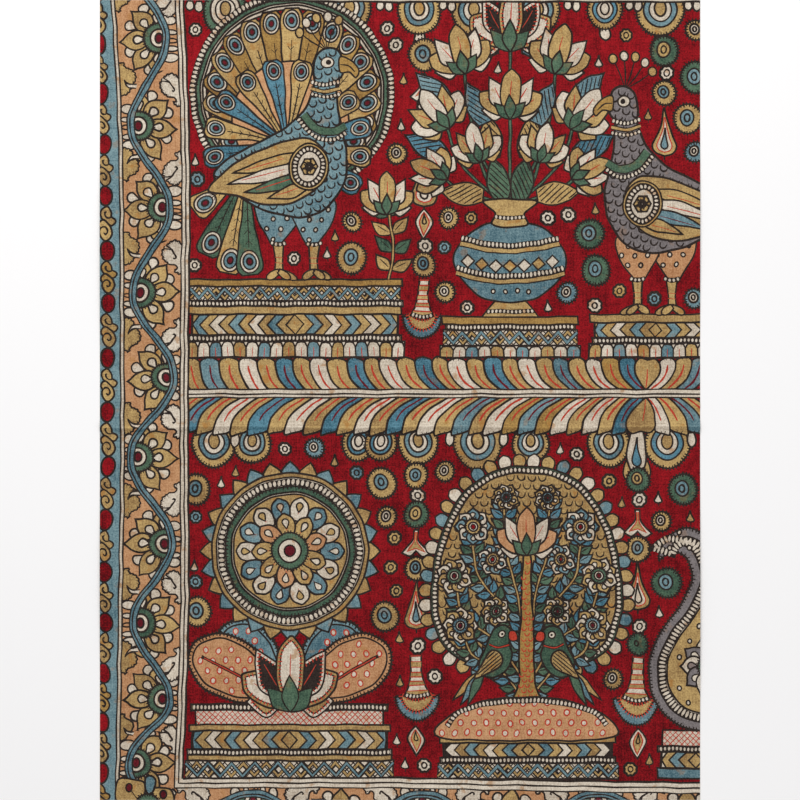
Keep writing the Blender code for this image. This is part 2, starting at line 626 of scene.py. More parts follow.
def tassel(art, x, top, length):
    """A hanging tassel: a striped cone, a row of pearls and two fringed skirts."""
    p = Place(x, top, art.hand.uniform(-3, 3), length / 100)
    skirts = (
        (((-33, -62), (-30, -78), (-17, -95), (0, -101), (17, -95), (30, -78), (33, -62), (17, -72),
            (0, -76), (-17, -72)),
         BLUE, INK),
        (((-25, -60), (-21, -73), (-12, -83), (0, -87), (12, -83), (21, -73), (25, -60), (12, -67),
            (0, -70), (-12, -67)),
         OCHRE, SCARLET),
    )
    for shape, dye, ink in skirts:
        outline = p.shape(shape)
        art.outlined(outline, dye, PEN, INK)
        fringe(art, outline, 2.0, 2.6, 0.9, ink)
    cone = ((-8, 0), (-8, -26), (-12, -46), (-20, -62))
    side = [p(c) for c in cone]
    other = [p(-c[0], c[1]) for c in cone]
    art.outlined(side + [p(0, -65)] + other[::-1], CREAM)
    left, right = curve(side, step=9 * p.size), curve(other, step=9 * p.size)
    for k in range(len(left) - 1):
        if k % 2:
            art.fill([left[k], left[k + 1], right[k + 1], right[k]], OCHRE)
        art.stroke([left[k], right[k]], 1.0, SCARLET, taper=1)
    pearls(art, p.line([(-19, -60), (0, -64), (19, -60)]), 3.2, pitch=3.3)


def chain(art, x, parts):
    """Hanging ornaments under each other: kind, height, size and dyes."""
    for kind, y, size, dyes in parts:
        if kind == "disc":
            disc(art, x, y, size, *dyes)
        elif kind == "bell":
            bell(art, complex(x, y), size, size * 1.05)
        elif kind == "rosette":
            little_rosette(art, complex(x + 1.5, y), size, *dyes)
        elif kind == "drop":
            drop(art, x, y, size, size * 0.5, dyes)
        elif kind == "flame":
            flame(art, x, y, size, size * 0.58)
        elif kind == "tassel":
            tassel(art, x, y, size)


def lotus(art, place, size=1.0, dyes=(CREAM, OCHRE)):
    """A lotus from the side."""
    petals = ((-88, 15, 0), (88, 15, 0), (-60, 19, 1), (60, 19, 1), (-32, 21.5, 0), (32, 21.5, 0),
        (0, 23, 1))
    for angle, length, which in petals:
        angle = math.radians(angle + art.hand.uniform(-3, 3))
        tip = place(length * size * math.sin(angle), length * size * math.cos(angle))
        root = place(2.5 * size * math.sin(angle), 0)
        petal = spindle(root, tip, art.vary(10.5 * size * place.size), PETAL if which else LEAF)
        art.outlined(petal, dyes[which])
        if size * place.size > 1.9:
            art.outlined(offset(petal, -3.4), dyes[1 - which], 1.0)
            fringe(art, offset(petal, -3.4), 1.6, 3.4, 0.8, SCARLET)
        near, far = root + (tip - root) * 0.3, root + (tip - root) * 0.72
        art.stroke([near, (near + far) / 2, far], 1.1, SCARLET)
    for side in (-1, 1, 0):
        tip = place(side * 8 * size, 5 * size if side else 9 * size)
        art.outlined(spindle(place(0, -3.5 * size), tip, 6 * size * place.size, LEAF), GREEN, 1.1)


def round_flower(art, centre, radius, petals=8, dyes=(CREAM, OCHRE, BLUE, MAROON), turn=0.0, seeds=True):
    """An open flower from above: petals, a fringed ring and an eye."""
    for k in range(petals):
        angle = math.tau * k / petals + math.radians(turn + art.hand.uniform(-2, 2))
        root, tip = centre + cmath.rect(radius * 0.3, angle), centre + cmath.rect(radius, angle)
        width = 2.15 * radius * math.sin(math.pi / petals) * 0.92
        art.outlined(spindle(root, tip, width, VINE_PETAL), dyes[k % 2])
        if seeds:
            seed = spindle(centre + cmath.rect(radius * 0.44, angle),
                centre + cmath.rect(radius * 0.76, angle), width * 0.36, SEED_DROP)
            art.outlined(seed, dyes[(k + 1) % 2], 1.0)
    ring = oval(centre, radius * 0.42)
    art.outlined(ring, dyes[2])
    fringe(art, ring, 1.8, 2.4, 0.9)
    art.outlined(oval(centre, radius * 0.24), CREAM, 1.1)
    art.outlined(oval(centre, radius * 0.12, radius * 0.14), dyes[3], 1.0)


def sprig(art, line, length, dyes, pitch, width):
    """A stem with leaves along it."""
    for i, (point, direction) in enumerate(evenly(line, pitch)):
        for side in (-1, 1):
            tip = point + direction * cmath.rect(art.vary(length), side * math.radians(52))
            leaf = spindle(point, tip, width, LEAF, side * 1.2)
            art.outlined(leaf, dyes[i % len(dyes)], 1.15)
            art.stroke(between(point, tip, 0.2, 0.45, 0.7), 1.0)
    art.ribbon(line, 3.4, 1.3, OCHRE)


def eye_feather(art, root, tip, width, dye):
    """A tail feather with an eye at its end."""
    art.outlined(spindle(root, tip, width, FAN), dye)
    axis = unit(tip - root)
    heart = tip - axis * width * 0.52
    angle = math.degrees(cmath.phase(axis)) - 90
    for share, ring in ((0.39, CREAM), (0.27, BLUE), (0.12, MAROON)):
        art.outlined(oval(heart, width * share * 0.92, width * share * 1.15, angle), ring, 1.1)
    quill = between(root, heart, 0.2, 0.5, 0.84)
    art.stroke(quill, 1.1)
    for side in (-1, 1):
        for s in (0.4, 0.52, 0.64, 0.76):
            start = root + (heart - root) * s
            art.stroke([start, start + axis * cmath.rect(width * (0.1 + 0.14 * s), side * 0.75)], 0.9)


# A bird that faces +x and stands at y = 0: its own points in millimetres.
BIRD_BODY = (
    (33, 160), (30, 168.5), (22, 171), (14, 166), (12, 155), (12, 142), (5, 126), (-9, 112), (-27, 102),
    (-52, 88),
    (-62, 76), (-46, 63), (-24, 51), (2, 46), (22, 54), (34, 72), (36, 94), (32, 112), (29, 130),
    (29, 144), (33, 151),
)
BIRD_BEAK = ((31, 164), (39, 161), (45, 154), (43, 149), (38, 153), (31, 153))
BIRD_WING = (
    (20, 94), (10, 103), (-6, 103), (-26, 96), (-48, 84), (-66, 66), (-46, 62), (-26, 56), (-6, 56),
    (12, 66), (20, 80),
)


def bird_leg(art, p, x, dye):
    """A feathered thigh, a shank with rings and a foot with three toes."""
    thigh = p.shape([(x - 15, 58), (x + 13, 60), (x + 15, 46), (x + 5, 30), (x - 3, 24), (x - 10, 34),
        (x - 17, 48)])
    art.outlined(thigh, dye)
    dots(art, thigh, 9.5 * p.size, 1.8, 2.1)
    shank = [p(x - 4, 27), p(x + 4, 27), p(x + 2.6, 14), p(x + 3, 5), p(x - 3, 5), p(x - 2.6, 14)]
    art.outlined(shank, OCHRE)
    for y in (12, 16):
        art.stroke([p(x - 3, y), p(x + 3, y)], 1.0, SCARLET)
    pearls(art, [p(x - 6, 27), p(x, 25.6), p(x + 6, 27)], 3.0)
    for reach in (-9, 13, 8):
        toe = spindle(p(x, 6), p(x + reach, 0.6), 5.4 * p.size, BUD)
        art.outlined(toe, OCHRE, 1.1)


def bird(art, p, body=BLUE, wing=(OCHRE, CREAM, GREEN), thigh=BLUE):
    """A tall bird with a crest, a layered wing and ringed neck."""
    bird_leg(art, p, -14, thigh)
    bird_leg(art, p, 12, thigh)
    for k, angle in enumerate((150, 128, 106, 84, 62)):
        tip = 20 + 22 * math.cos(math.radians(angle)), 170 + 24 * math.sin(math.radians(angle))
        art.stroke([p(21, 169), p((21 + tip[0]) / 2 - 1, (169 + tip[1]) / 2), p(tip)], 1.2)
        art.outlined(oval(p(tip), 3.0 * p.size, 3.6 * p.size), (OCHRE, CREAM)[k % 2], 1.1)
    outline = p.shape(BIRD_BODY)
    art.outlined(outline, body, 1.5)
    scales(art, outline, 7.6 * p.size, 20 if not p.mirror else -20)
    art.outlined(p.shape(BIRD_BEAK, 2), AMBER)
    art.stroke(p.line([(31, 158.5), (37, 157.5), (42, 153)]), 1.1)
    art.outlined(oval(p(22, 160), 4.6 * p.size, 4.0 * p.size, step=1.8), CREAM, 1.1)
    art.fill(oval(p(22.8, 160), 2.0 * p.size, step=1.4), INK)
    for y, tall, dye in ((146, 4.2, None), (141, 3.2, OCHRE), (137, 3.4, None)):
        across = p.line([(9.6, y), (20, y - 2.4), (31.5, y - 0.6)])
        if dye is None:
            pearls(art, across, tall * 0.85)
        else:
            art.ribbon(across, tall + 1.2, tall - 1.2, dye)
    collar = p.line([(4, 122), (14, 111), (26, 109), (35, 114)])
    art.ribbon(collar, 8.4, 6.0, GREEN)
    pearls(art, p.line([(0, 119), (12, 106), (26, 103), (36, 109)]), 3.6)
    outer = p.shape(BIRD_WING)
    art.outlined(outer, wing[0], 1.5)
    for k, (start, end) in enumerate((((6, 94), (-48, 78)), ((8, 86), (-52, 70)), ((10, 78), (-40, 64)),
        ((10, 70), (-22, 60)))):
        feather = spindle(p(start), p(end), 9.6 * p.size, LEAF, 1.0)
        art.outlined(feather, wing[k % 3], 1.15)
        art.stroke([p(start[0] + (end[0] - start[0]) * s,
            start[1] + (end[1] - start[1]) * s) for s in (0.3, 0.55, 0.82)],
                   1.0, SCARLET if wing[k % 3] != BLUE else MAROON)
    shoulder = oval(p(8, 83), 14.5 * p.size, 17 * p.size, -10)
    banded(art, shoulder, ((0, OCHRE), (2.6, BLUE), (7.2, CREAM)), 1.2)
    pearls(art, offset(shoulder, -4.9), 3.4, closed=True)
    round_flower(art, p(8, 83), 6.4 * p.size, 6, (OCHRE, OCHRE, RED, CREAM), seeds=False)


def fan_halo(art, p, centre, radius):
    """A round fan of eye feathers in two layers, inside a pearled and ruled rim."""
    middle = p(*centre)
    reach = radius * p.size
    pearls(art, oval(middle, reach + 9.4, step=3), 5.2, closed=True, pitch=4.1)
    green = oval(middle, reach + 6.2, step=3)
    art.outlined(green, GREEN)
    fringe(art, green, 1.6, 3.6, 1.1)
    for out, dye in ((2.4, CREAM), (0.2, CREAM)):
        art.outlined(oval(middle, reach + out, step=3), dye)
    hub = p(centre[0] - 4, centre[1] - radius * 0.55)
    for count, share, dyes in ((17, 0.97, (OCHRE, AMBER)), (12, 0.66, (INDIGO, OCHRE))):
        outer = share > 0.9
        ground = middle if outer else hub + 0.5 * (middle - hub)
        art.outlined(oval(ground, reach * share * 0.99, step=3), (PEACH, RED)[outer])
        order = sorted(range(count), key=lambda k: -abs(k - (count - 1) / 2))
        for k in order:
            angle = math.radians(-32 + 244 * k / (count - 1))
            if p.mirror:
                angle = math.pi - angle
            tip = middle + cmath.rect(reach * share, angle) if outer else hub + cmath.rect(reach * 0.95,
                angle)
            eye_feather(art, hub, tip, (20.5 if outer else 18.5) * p.size, dyes[k % 2])


def paisley(art, p, dyes=(OCHRE, BLUE, CREAM)):
    """A bent drop with pearls, a dotted body and a flower in its belly. It stands 104 high."""
    points = (
        (0, 0), (17, 3), (29, 16), (32, 34), (25, 52), (15, 66), (10, 78), (13, 89), (21, 92), (27, 88),
        (24, 98), (13, 104), (0, 99), (-9, 87), (-17, 70), (-27, 52), (-32, 33), (-28, 15), (-16, 3),
    )
    outline = p.shape(points, 3)
    art.outlined(outline, dyes[0], 1.5)
    fringe(art, outline, 2.6, 3.2, 1.1)
    banded(art, offset(outline, -4.4 * p.size), ((0, CREAM),))
    pearls(art, offset(outline, -6.6 * p.size), 3.6 * p.size, closed=True)
    core = offset(outline, -9.2 * p.size)
    art.outlined(core, dyes[1])
    dots(art, core, 10 * p.size, 1.8, 2.1)
    round_flower(art, p(0, 33), 16 * p.size, 10, (dyes[0], dyes[2], GREEN, MAROON))


def vase(art, p, body=BLUE):
    """A round pot on a foot, with a dotted belly between bands of pearls."""
    art.outlined(p([(-20, 0), (20, 0), (15, 7), (9, 13), (-9, 13), (-15, 7)]), OCHRE)
    pearls(art, p.line([(-17, 4), (0, 3.4), (17, 4)]), 3.2)
    belly = p.shape([(0, 10), (22, 15), (38, 32), (39, 46), (28, 60), (12, 67), (-12, 67), (-28, 60),
        (-39, 46), (-38, 32), (-22, 15)])
    art.outlined(belly, body, 1.5)
    dots(art, p.shape([(0, 13), (20, 17), (33, 27), (0, 24), (-33, 27), (-20, 17)]), 8.5 * p.size, 1.7, 2.0)
    for y, reach, sag in ((31, 38.5, 6), (52, 35.5, 5)):
        line = p.line([(-reach, y), (-reach * 0.5, y - sag * 0.75), (0, y - sag),
            (reach * 0.5, y - sag * 0.75), (reach, y)])
        art.ribbon(line, 5.4, 3.2, OCHRE)
        pearls(art, [q + p.spin * 4j for q in line], 3.4 * p.size)
    for k in range(7):
        x = -30 + 10 * k
        y = 41 - 5 * (1 - (x / 36) ** 2)
        art.outlined(p([complex(x - 4.6, y), complex(x, y - 4.4), complex(x + 4.6, y),
            complex(x, y + 4.4)]), (CREAM, OCHRE)[k % 2], 1.1)
    art.outlined(p.shape([(-13, 66), (-10, 74), (-19, 82), (0, 84), (19, 82), (10, 74), (13, 66),
        (0, 64)]), OCHRE)
    pearls(art, p.line([(-11, 71.6), (0, 70.4), (11, 71.6)]), 3.2)


def mirrored(rows):
    """Each row at the left and then at the right: its x first, its turn last. A row at x = 0 stands once."""
    return [
        (side * row[0], *row[1:-1], -side * row[-1]) for row in rows for side in ((-1,
            1) if row[0] else (1,))
    ]


def lotus_vase(art, p):
    """A vase full of lotuses and round leaves."""
    heads = mirrored((
        (0, 196, 1.75, 0), (33, 178, 1.35, 14), (46, 138, 1.3, 36), (0, 146, 1.35, 0), (22, 114, 1.1, 14),
        (48, 100, 1.1, 62),
    ))
    for x, y, size, turn in heads:
        stem = p.line([(x * 0.1, 80), (x * 0.75, 84 + (y - 84) * 0.45), (x, y)], 4)
        art.ribbon(stem, 3.6, 1.4, GREEN)
    leaves = mirrored((
        (60, 122, INDIGO, 62), (55, 162, BLUE, 46), (19, 200, BLUE, 24), (14, 128, OCHRE, 8),
        (24, 152, BLUE, 24),
        (34, 88, OCHRE, 84), (9, 98, GREEN, 12),
    ))
    for x, y, dye, turn in leaves:
        lean = complex(math.sin(math.radians(-turn)), math.cos(math.radians(turn)))
        root, tip = p(complex(x, y) - lean * 15), p(complex(x, y) + lean * 17)
        leaf = spindle(root, tip, 16 * p.size, VINE_PETAL)
        art.outlined(leaf, dye)
        hatch(art, offset(leaf, -1.6), 3.6, math.degrees(cmath.phase(tip - root)) + 35, 0.9)
    for x, y, size, turn in heads:
        own = Place(p(x, y).real, p(x, y).imag, turn, p.size)
        lotus(art, own, size, ((CREAM, OCHRE), (OCHRE, CREAM), (CREAM, PEACH))[int(abs(x)) % 3])
    vase(art, p)


def medallion(art, centre, radius):
    """A great lotus from above, in rings of petals, pearls and rules."""
    for k in range(28):
        angle = math.tau * k / 28
        tip = centre + cmath.rect(radius, angle)
        art.outlined(spindle(centre + cmath.rect(radius * 0.78, angle), tip, radius * 0.2, LEAF),
            (OCHRE, BLUE)[k % 2])
    for share, dye in ((0.87, OCHRE), (0.82, CREAM), (0.72, GREEN), (0.655, CREAM), (0.63, OCHRE)):
        art.outlined(oval(centre, radius * share, step=3), dye)
    fringe(art, oval(centre, radius * 0.72, step=3), 2.4, 3.4, 1.1)
    pearls(art, oval(centre, radius * 0.77, step=3), 5.2, closed=True, pitch=4.2)
    for count, outer, inner, width, dyes in ((14, 0.6, 0.34, 0.21, (BLUE, CREAM)),
        (9, 0.42, 0.14, 0.2, (OCHRE, PEACH))):
        for k in range(count):
            angle = math.tau * (k + 0.5 * (count == 9)) / count
            root, tip = centre + cmath.rect(radius * inner, angle), centre + cmath.rect(radius * outer,
                angle)
            dye = dyes[k % 2] if count % 2 == 0 else dyes[k % 3 == 0]
            art.outlined(spindle(root, tip, radius * width, PETAL), dye)
            line = between(root, tip, 0.3, 0.55, 0.8)
            art.stroke(line, 1.1, SCARLET if dye != BLUE else MAROON)
            seed = spindle(root + (tip - root) * 0.4, root + (tip - root) * 0.78, radius * width * 0.36,
                SEED_DROP)
            art.outlined(seed, CREAM if dye != CREAM else OCHRE, 1.0)
    ring = oval(centre, radius * 0.2)
    art.outlined(ring, GREEN)
    fringe(art, ring, 2.0, 2.6, 0.9)
    art.outlined(oval(centre, radius * 0.125), CREAM)
    art.outlined(oval(centre, radius * 0.06), MAROON, 1.1)


def parrot(art, p):
    """A small green parrot on a branch, facing +x."""
    for tip, dye in (((-34, -30), OCHRE), ((-28, -34), BLUE), ((-22, -34), GREEN)):
        art.outlined(spindle(p(-8, -4), p(tip), 7 * p.size, LEAF), dye, 1.1)
    body = p.shape([(14, 24), (8, 30), (0, 28), (-4, 20), (-8, 10), (-13, 0), (-10, -9), (0, -12),
        (10, -5), (14, 6), (12, 15)])
    art.outlined(body, GREEN)
    art.outlined(p.shape([(12, 25), (17, 25), (19, 19), (15, 17), (12, 19)], 2), SCARLET, 1.1)
    art.outlined(oval(p(6, 23), 2.7 * p.size, step=1.5), CREAM, 1.0)
    art.fill(oval(p(6.3, 23), 1.1 * p.size, step=1.3), INK)
    art.ribbon(p.line([(-4, 15), (3, 12.5), (12, 14)]), 2.6, 1.0, SCARLET)
    wing = p.shape([(4, 8), (-2, 10), (-9, 2), (-16, -12), (-7, -9), (2, -5), (6, 1)])
    art.outlined(wing, OCHRE)
    hatch(art, offset(wing, -1.2), 3.0, 40 if not p.mirror else 140, 0.9)


CROWN = (
    (0, 262), (30, 258), (58, 240), (78, 208), (90, 166), (92, 122), (80, 88), (56, 72), (26, 68), (0, 72),
    (-26, 68), (-56, 72), (-80, 88), (-92, 122), (-90, 166), (-78, 208), (-58, 240), (-30, 258),
)


def tree(art, p):
    """A flowering tree on a dotted mound, with two parrots."""
    crown = p.shape(CROWN, 5)
    for k, (point, direction) in enumerate(evenly(crown, 12.5, closed=True)):
        out = direction * -1j if signed_area(crown) > 0 else direction * 1j
        leaf = spindle(point - out * 2, point + out * 11, 11.5, PETAL)
        art.outlined(leaf, (CREAM, OCHRE, BLUE, OCHRE)[k % 4], 1.15)
    art.outlined(crown, GREEN, 1.5)
    pearls(art, offset(crown, -3.4), 3.8, closed=True, pitch=3.9)
    inner = offset(crown, -6.2)
    art.outlined(inner, OCHRE)
    scales(art, inner, 9.5, 0, INK, 1.0)
    for side in (-1, 1):
        for x, y in ((62, 104), (70, 150), (54, 200), (22, 226)):
            stem = [p(side * a, b) for a, b in ((2, y * 0.36), (x * 0.42, y * 0.62), (x * 0.86, y * 0.78),
                (x, y))]
            sprig(art, curve(stem, step=4), 15 * p.size, (BLUE, GREEN, INDIGO), 9 * p.size, 8.5 * p.size)
    trunk = p.shape(
        [(-15, 30), (-8, 52), (-7, 90), (-5, 130), (-3, 178), (3, 178), (5, 130), (7, 90), (8, 52),
            (15, 30), (0, 27)], 4,
    )
    art.outlined(trunk, AMBER, 1.5)
    scales(art, trunk, 6.2 * p.size, 0, SCARLET, 1.0)
    blooms = ((64, 108, 18), (70, 156, 18.5), (52, 204, 18), (20, 232, 13), (30, 122, 15), (33, 172, 15.5))
    for side in (-1, 1):
        for k, (x, y, radius) in enumerate(blooms):
            dyes = ((CREAM, OCHRE, BLUE, MAROON), (OCHRE, CREAM, GREEN, MAROON),
                (BLUE, CREAM, OCHRE, RED))[k % 3]
            round_flower(art, p(side * x, y), radius * p.size, 8, dyes, 22.5 * (k % 2))
    top = p(0, 182)
    lotus(art, Place(top.real, top.imag, 0, p.size), 1.75, (CREAM, PEACH))
    for side in (-1, 1):
        spot = p(side * 31, 72)
        parrot(art, Place(spot.real, spot.imag, 0, p.size * 1.2, mirror=side > 0))
    mound = p.shape([(-84, 0), (-76, 20), (-44, 34), (0, 39), (44, 34), (76, 20), (84, 0), (0, -3)], 4)
    art.outlined(mound, PEACH, 1.5)
    dots(art, mound, 12 * p.size, 2.3, 2.8, CREAM, SCARLET)
    pearls(art, p.line([(-77, 11), (-66, 24), (-42, 31.5), (0, 36), (42, 31.5), (66, 24), (77, 11)], 4),
        4.2)


def lotus_leaf(art, p, dye=PEACH):
    """A great drooping leaf with a scalloped rim and dots, from (0, 0) up and out to +x."""
    leaf = p.shape([(0, 0), (20, 4), (44, 6), (66, 16), (78, 34), (74, 50), (56, 58), (36, 52), (18, 36),
        (5, 18)], 3)
    art.outlined(leaf, dye, 1.5)
    inner = offset(leaf, -4.2)
    art.outlined(inner, dye, 1.1)
    fringe(art, leaf, 2.8, 3.4, 1.2)
    dots(art, inner, 11.5, 2.2, 2.8, CREAM, SCARLET)
    art.stroke(p.line([(2, 2), (28, 18), (52, 32), (68, 40)]), 3.2, taper=1)
    art.stroke(p.line([(2, 2), (28, 18), (52, 32), (66, 39)]), 1.2, SCARLET, taper=1)


class Guide:
    """An upright line of the border, which drifts by hand: x at a height."""

    def __init__(self, spots):
        self.line = curve([complex(x, y) for y, x in spots], step=12)

    def __call__(self, y):
        for a, b in zip(self.line, self.line[1:]):
            if a.imag >= y >= b.imag:
                return a.real + (b.real - a.real) * (a.imag - y) / max(1e-6, a.imag - b.imag)
        return self.line[0].real if y > self.line[0].imag else self.line[-1].real

    def run(self, across=0.0, low=BOTTOM - 4, high=TOP + 4):
        """The line itself, moved across by some millimetres."""
        count = math.ceil((high - low) / 14)
        heights = [high + (low - high) * i / count for i in range(count + 1)]
        return [complex(self(y) + across, y) for y in heights]


# height, x
STRIP_LINE = Guide((
    (370, -261.0), (350, -259.4), (270, -254.6), (180, -252.2), (60, -251.7), (-60, -251.4),
    (-170, -253.0), (-260, -254.4), (-345, -255.8), (-370, -256.2),
))
VINE_LINE = Guide((
    (370, -203.0), (350, -201.6), (270, -198.0), (180, -196.2), (60, -197.6), (-60, -197.8),
    (-170, -197.2), (-260, -199.4), (-345, -203.3), (-370, -203.9),
))
STRIP_RULE = 3.3
FRAME_RULES = (0.0, 3.6, 7.3)
FRAME_INK = (1.0, 1.0, 1.3)

# The vine's stem swings from side to side: x and y of each turn, from the top down.
STEM_TURNS = (
    (-243.0, 398.0), (-210.6, 325.4), (-242.3, 246.8), (-206.8, 173.0), (-240.6, 96.5), (-203.0, 20.0),
    (-243.0, -51.5), (-205.2, -129.5), (-240.4, -200.5), (-206.8, -269.5), (-244.4, -327.0),
    (-214.0, -398.0),
)
STEM_WIDTH = 6.6


def stem_line(turns, step=3.0):
    """The stem's middle: an even swing between the turns."""
    line = []
    for (x0, y0), (x1, y1) in zip(turns, turns[1:]):
        count = math.ceil(abs(y1 - y0) / step)
        for i in range(count):
            t = i / count
            ease = (1 - math.cos(math.pi * t)) / 2
            line.append(complex(x0 + (x1 - x0) * ease, y0 + (y1 - y0) * t))
    return line + [complex(*turns[-1])]


def vine_flower(art, place, side, size=1.0):
    """Half a flower at a turn of the stem. side is +1 where it opens towards +x."""
    def ray(angle, length):
        angle = math.radians(angle)
        return place(side * (6.9 + length * math.cos(angle)), length * math.sin(angle))

    for angle, length in ((-71, 29), (-28, 27.5), (21, 28), (63, 29)):
        angle += art.hand.uniform(-4, 4)
        root, tip = ray(angle, (length - 6.5) * size), ray(angle, (length + 5) * size)
        art.outlined(spindle(root, tip, art.vary(9.2), SEED_DROP), CREAM)
    for angle, length in ((-87, 31), (83, 29), (-53, 35.5), (44, 34.5), (-2, 35.5)):
        angle += art.hand.uniform(-4, 4)
        root, tip = ray(angle, 10.5), ray(angle, art.vary(length * size, 0.03))
        blade = VINE_PETAL if length > 34 or art.hand.random() < 0.5 else PETAL
        art.outlined(spindle(root, tip, art.vary(17 * size, 0.05), blade, art.hand.uniform(-1.2, 1.2)),
            OCHRE)
        seed = spindle(ray(angle, 12.6), ray(angle + 3, 12.4 + 10.4 * size), art.vary(7.4, 0.06), SEED_DROP)
        art.outlined(seed, CREAM)
    ring = oval(place(side * 6.9, 0), art.vary(13.6, 0.03), art.vary(13.0, 0.03))
    art.outlined(ring, GREEN)
    fringe(art, ring, 2.0, 2.2, 0.8)
    art.outlined(oval(place(side * 6.9, 0), 7.6, 8.0), CREAM)
    art.outlined(oval(place(side * 6.9, 0), 3.3, 4.3), MAROON, 1.2)


# The curled leaves of the border, from the ruled line at x = 0 towards the stem at +x.
CREAM_LEAF = (
    (-1, 10.5), (3, 14.7), (8, 17), (12.6, 14.7), (15.4, 11.9), (18.6, 8.3), (20.4, 5), (19.7, 1.4),
    (18.1, -2.8),
    (15.8, -4.3), (13.1, -7.1), (10.3, -8.3), (6.2, -8.7), (3.9, -11.5), (4.1, -14.2), (6.7, -15.1),
    (2.1, -17.9), (-1, -17),
)
CREAM_VEIN = ((17.6, 12.6), (11.7, 9.2), (8.5, 4.6), (5.7, 0.9), (5.5, -0.9), (7.1, -1.8), (8.3, -0.7))
CREAM_SHEATH = ((18.8, 8.9), (14.5, 8.7), (10.8, 7.6))
OCHRE_LEAF = (
    (-1, 12.2), (3.9, 14.9), (4.5, 11.9), (7.1, 9.7), (10.8, 7.8), (13.5, 4.6), (14.2, 0.5), (12.8, -3.7),
    (11.2, -6.4), (9, -9.4), (6.2, -12.9), (2.5, -14.6), (-1, -14),
)
OCHRE_VEIN = ((16, -5.6), (9, -5.2), (5.3, -2.8), (3.6, -0.4))
OCHRE_SHEATH = ((15, -9.4), (8, -8.3), (5.2, -4.8), (3.6, -1.2))


def border_leaf(art, place, dye, upright):
    """A curled leaf that leans on a ruled line. Its scalloped side has short pen teeth."""
    shape, vein, sheath = (
        (CREAM_LEAF, CREAM_VEIN, CREAM_SHEATH) if dye == CREAM else (OCHRE_LEAF, OCHRE_VEIN, OCHRE_SHEATH)
    )
    flip = 1 if upright else -1

    def lay(points, step=2.0):
        return [place(p.real, p.imag * flip) for p in curve(points, step=step)]

    outline = tidy(lay(shape))
    heart = place(1, 0)
    scalloped_edge = []
    for k, (point, direction) in enumerate(evenly(outline, 0.95, closed=True)):
        far = min(1.0, max(0.0, (abs(point - heart) - 9.5) / 3))
        scalloped_edge.append(point - 1j * direction * 1.3 * far * abs(math.sin(math.pi * k / 3.6)))
    art.outlined(scalloped_edge, dye, 1.15)
    for point, direction in evenly(outline, 3.4, closed=True):
        if 11 < abs(point - heart) < 21 and art.hand.random() < 0.8:
            inward = 1j * direction
            half = direction * 0.5
            art.fill([point - half - inward, point + half - inward, point + inward * art.vary(2.2, 0.2)],
                INK, 0.0)
    neck = lay(vein[:3], 3) + lay(sheath, 3)[::-1]
    art.fill(neck, CREAM)
    art.stroke(lay(vein), 1.25)
    art.stroke(lay(sheath), 1.15)


def vine(art, turns, rules, place=complex):
    """The vine band: half flowers, then leaves and buds in the outer bays, then the stem over them."""
    stem = stem_line(turns)
    low_rule, high_rule = rules
    for i, (x, y) in enumerate(turns):
        side = -1 if i % 2 else 1
        vine_flower(art, lambda a, b=None, x=x,
            y=y: place(x + (a if b is not None else a.real), y + (b or 0)), side)
    for i, (x, y) in enumerate(turns):
        outer = -1 if i % 2 == 0 else 1
        rule = low_rule if outer < 0 else high_rule
        near = [p for p in stem if abs(p.imag - y) < 30]
        if len(near) < 3:
            continue
        bay = near + [complex(rule(p.imag), p.imag) for p in near[::-1]]
        art.fill([place(p.real, p.imag) for p in bay], PEACH, -0.2)
        for away, tall in ((-17.0, 4.0), (-9.0, 2.3), (-1.5, 1.8), (5.5, 2.3), (15.5, 4.3)):
            spot = y + away + art.hand.uniform(-1.5, 1.5)
            middle = min(near, key=lambda p: abs(p.imag - spot)).real
            reach = abs(rule(spot) - middle)
            bud = oval(complex(rule(spot) - outer * reach / 2, spot), reach / 2, art.vary(tall))
            art.outlined([place(p.real, p.imag) for p in bud], CREAM if tall > 2 else PEACH, 1.1)
    for i, (x, y) in enumerate(turns):
        side = -1 if i % 2 else 1
        rule = low_rule if side < 0 else high_rule
        aways = ((39.0, False), (-36.5, True)) if side < 0 else ((32.7, True), (-39.0, False))
        for away, upright in aways:
            ahead = i + (1 if (away < 0) == (turns[0][1] > turns[-1][1]) else -1)
            towards = turns[min(len(turns) - 1, max(0, ahead))][1]
            close = min(1.0, (abs(towards - y) / 70) ** 2) if towards != y else 1.0
            spot = y + away * close
            share = (0.96 if side < 0 else 0.82) * (0.5 + close / 2)

            def lean(a, b, spot=spot, rule=rule, side=side, share=share):
                return place(rule(spot + b * share) - side * a * share, spot + b * share)

            border_leaf(art, lean, OCHRE if side < 0 else CREAM, upright)
    band = [place(p.real, p.imag) for p in stem]
    art.stroke(band, STEM_WIDTH + PEN, INK, taper=1)
    art.stroke(band, STEM_WIDTH - PEN, BLUE, taper=1, dip=-0.8)
    inner = [p - 1j * unit(q - p) * 0.7 for p, q in zip(band, band[1:])]
    art.stroke(inner, 1.0, INK, taper=1)


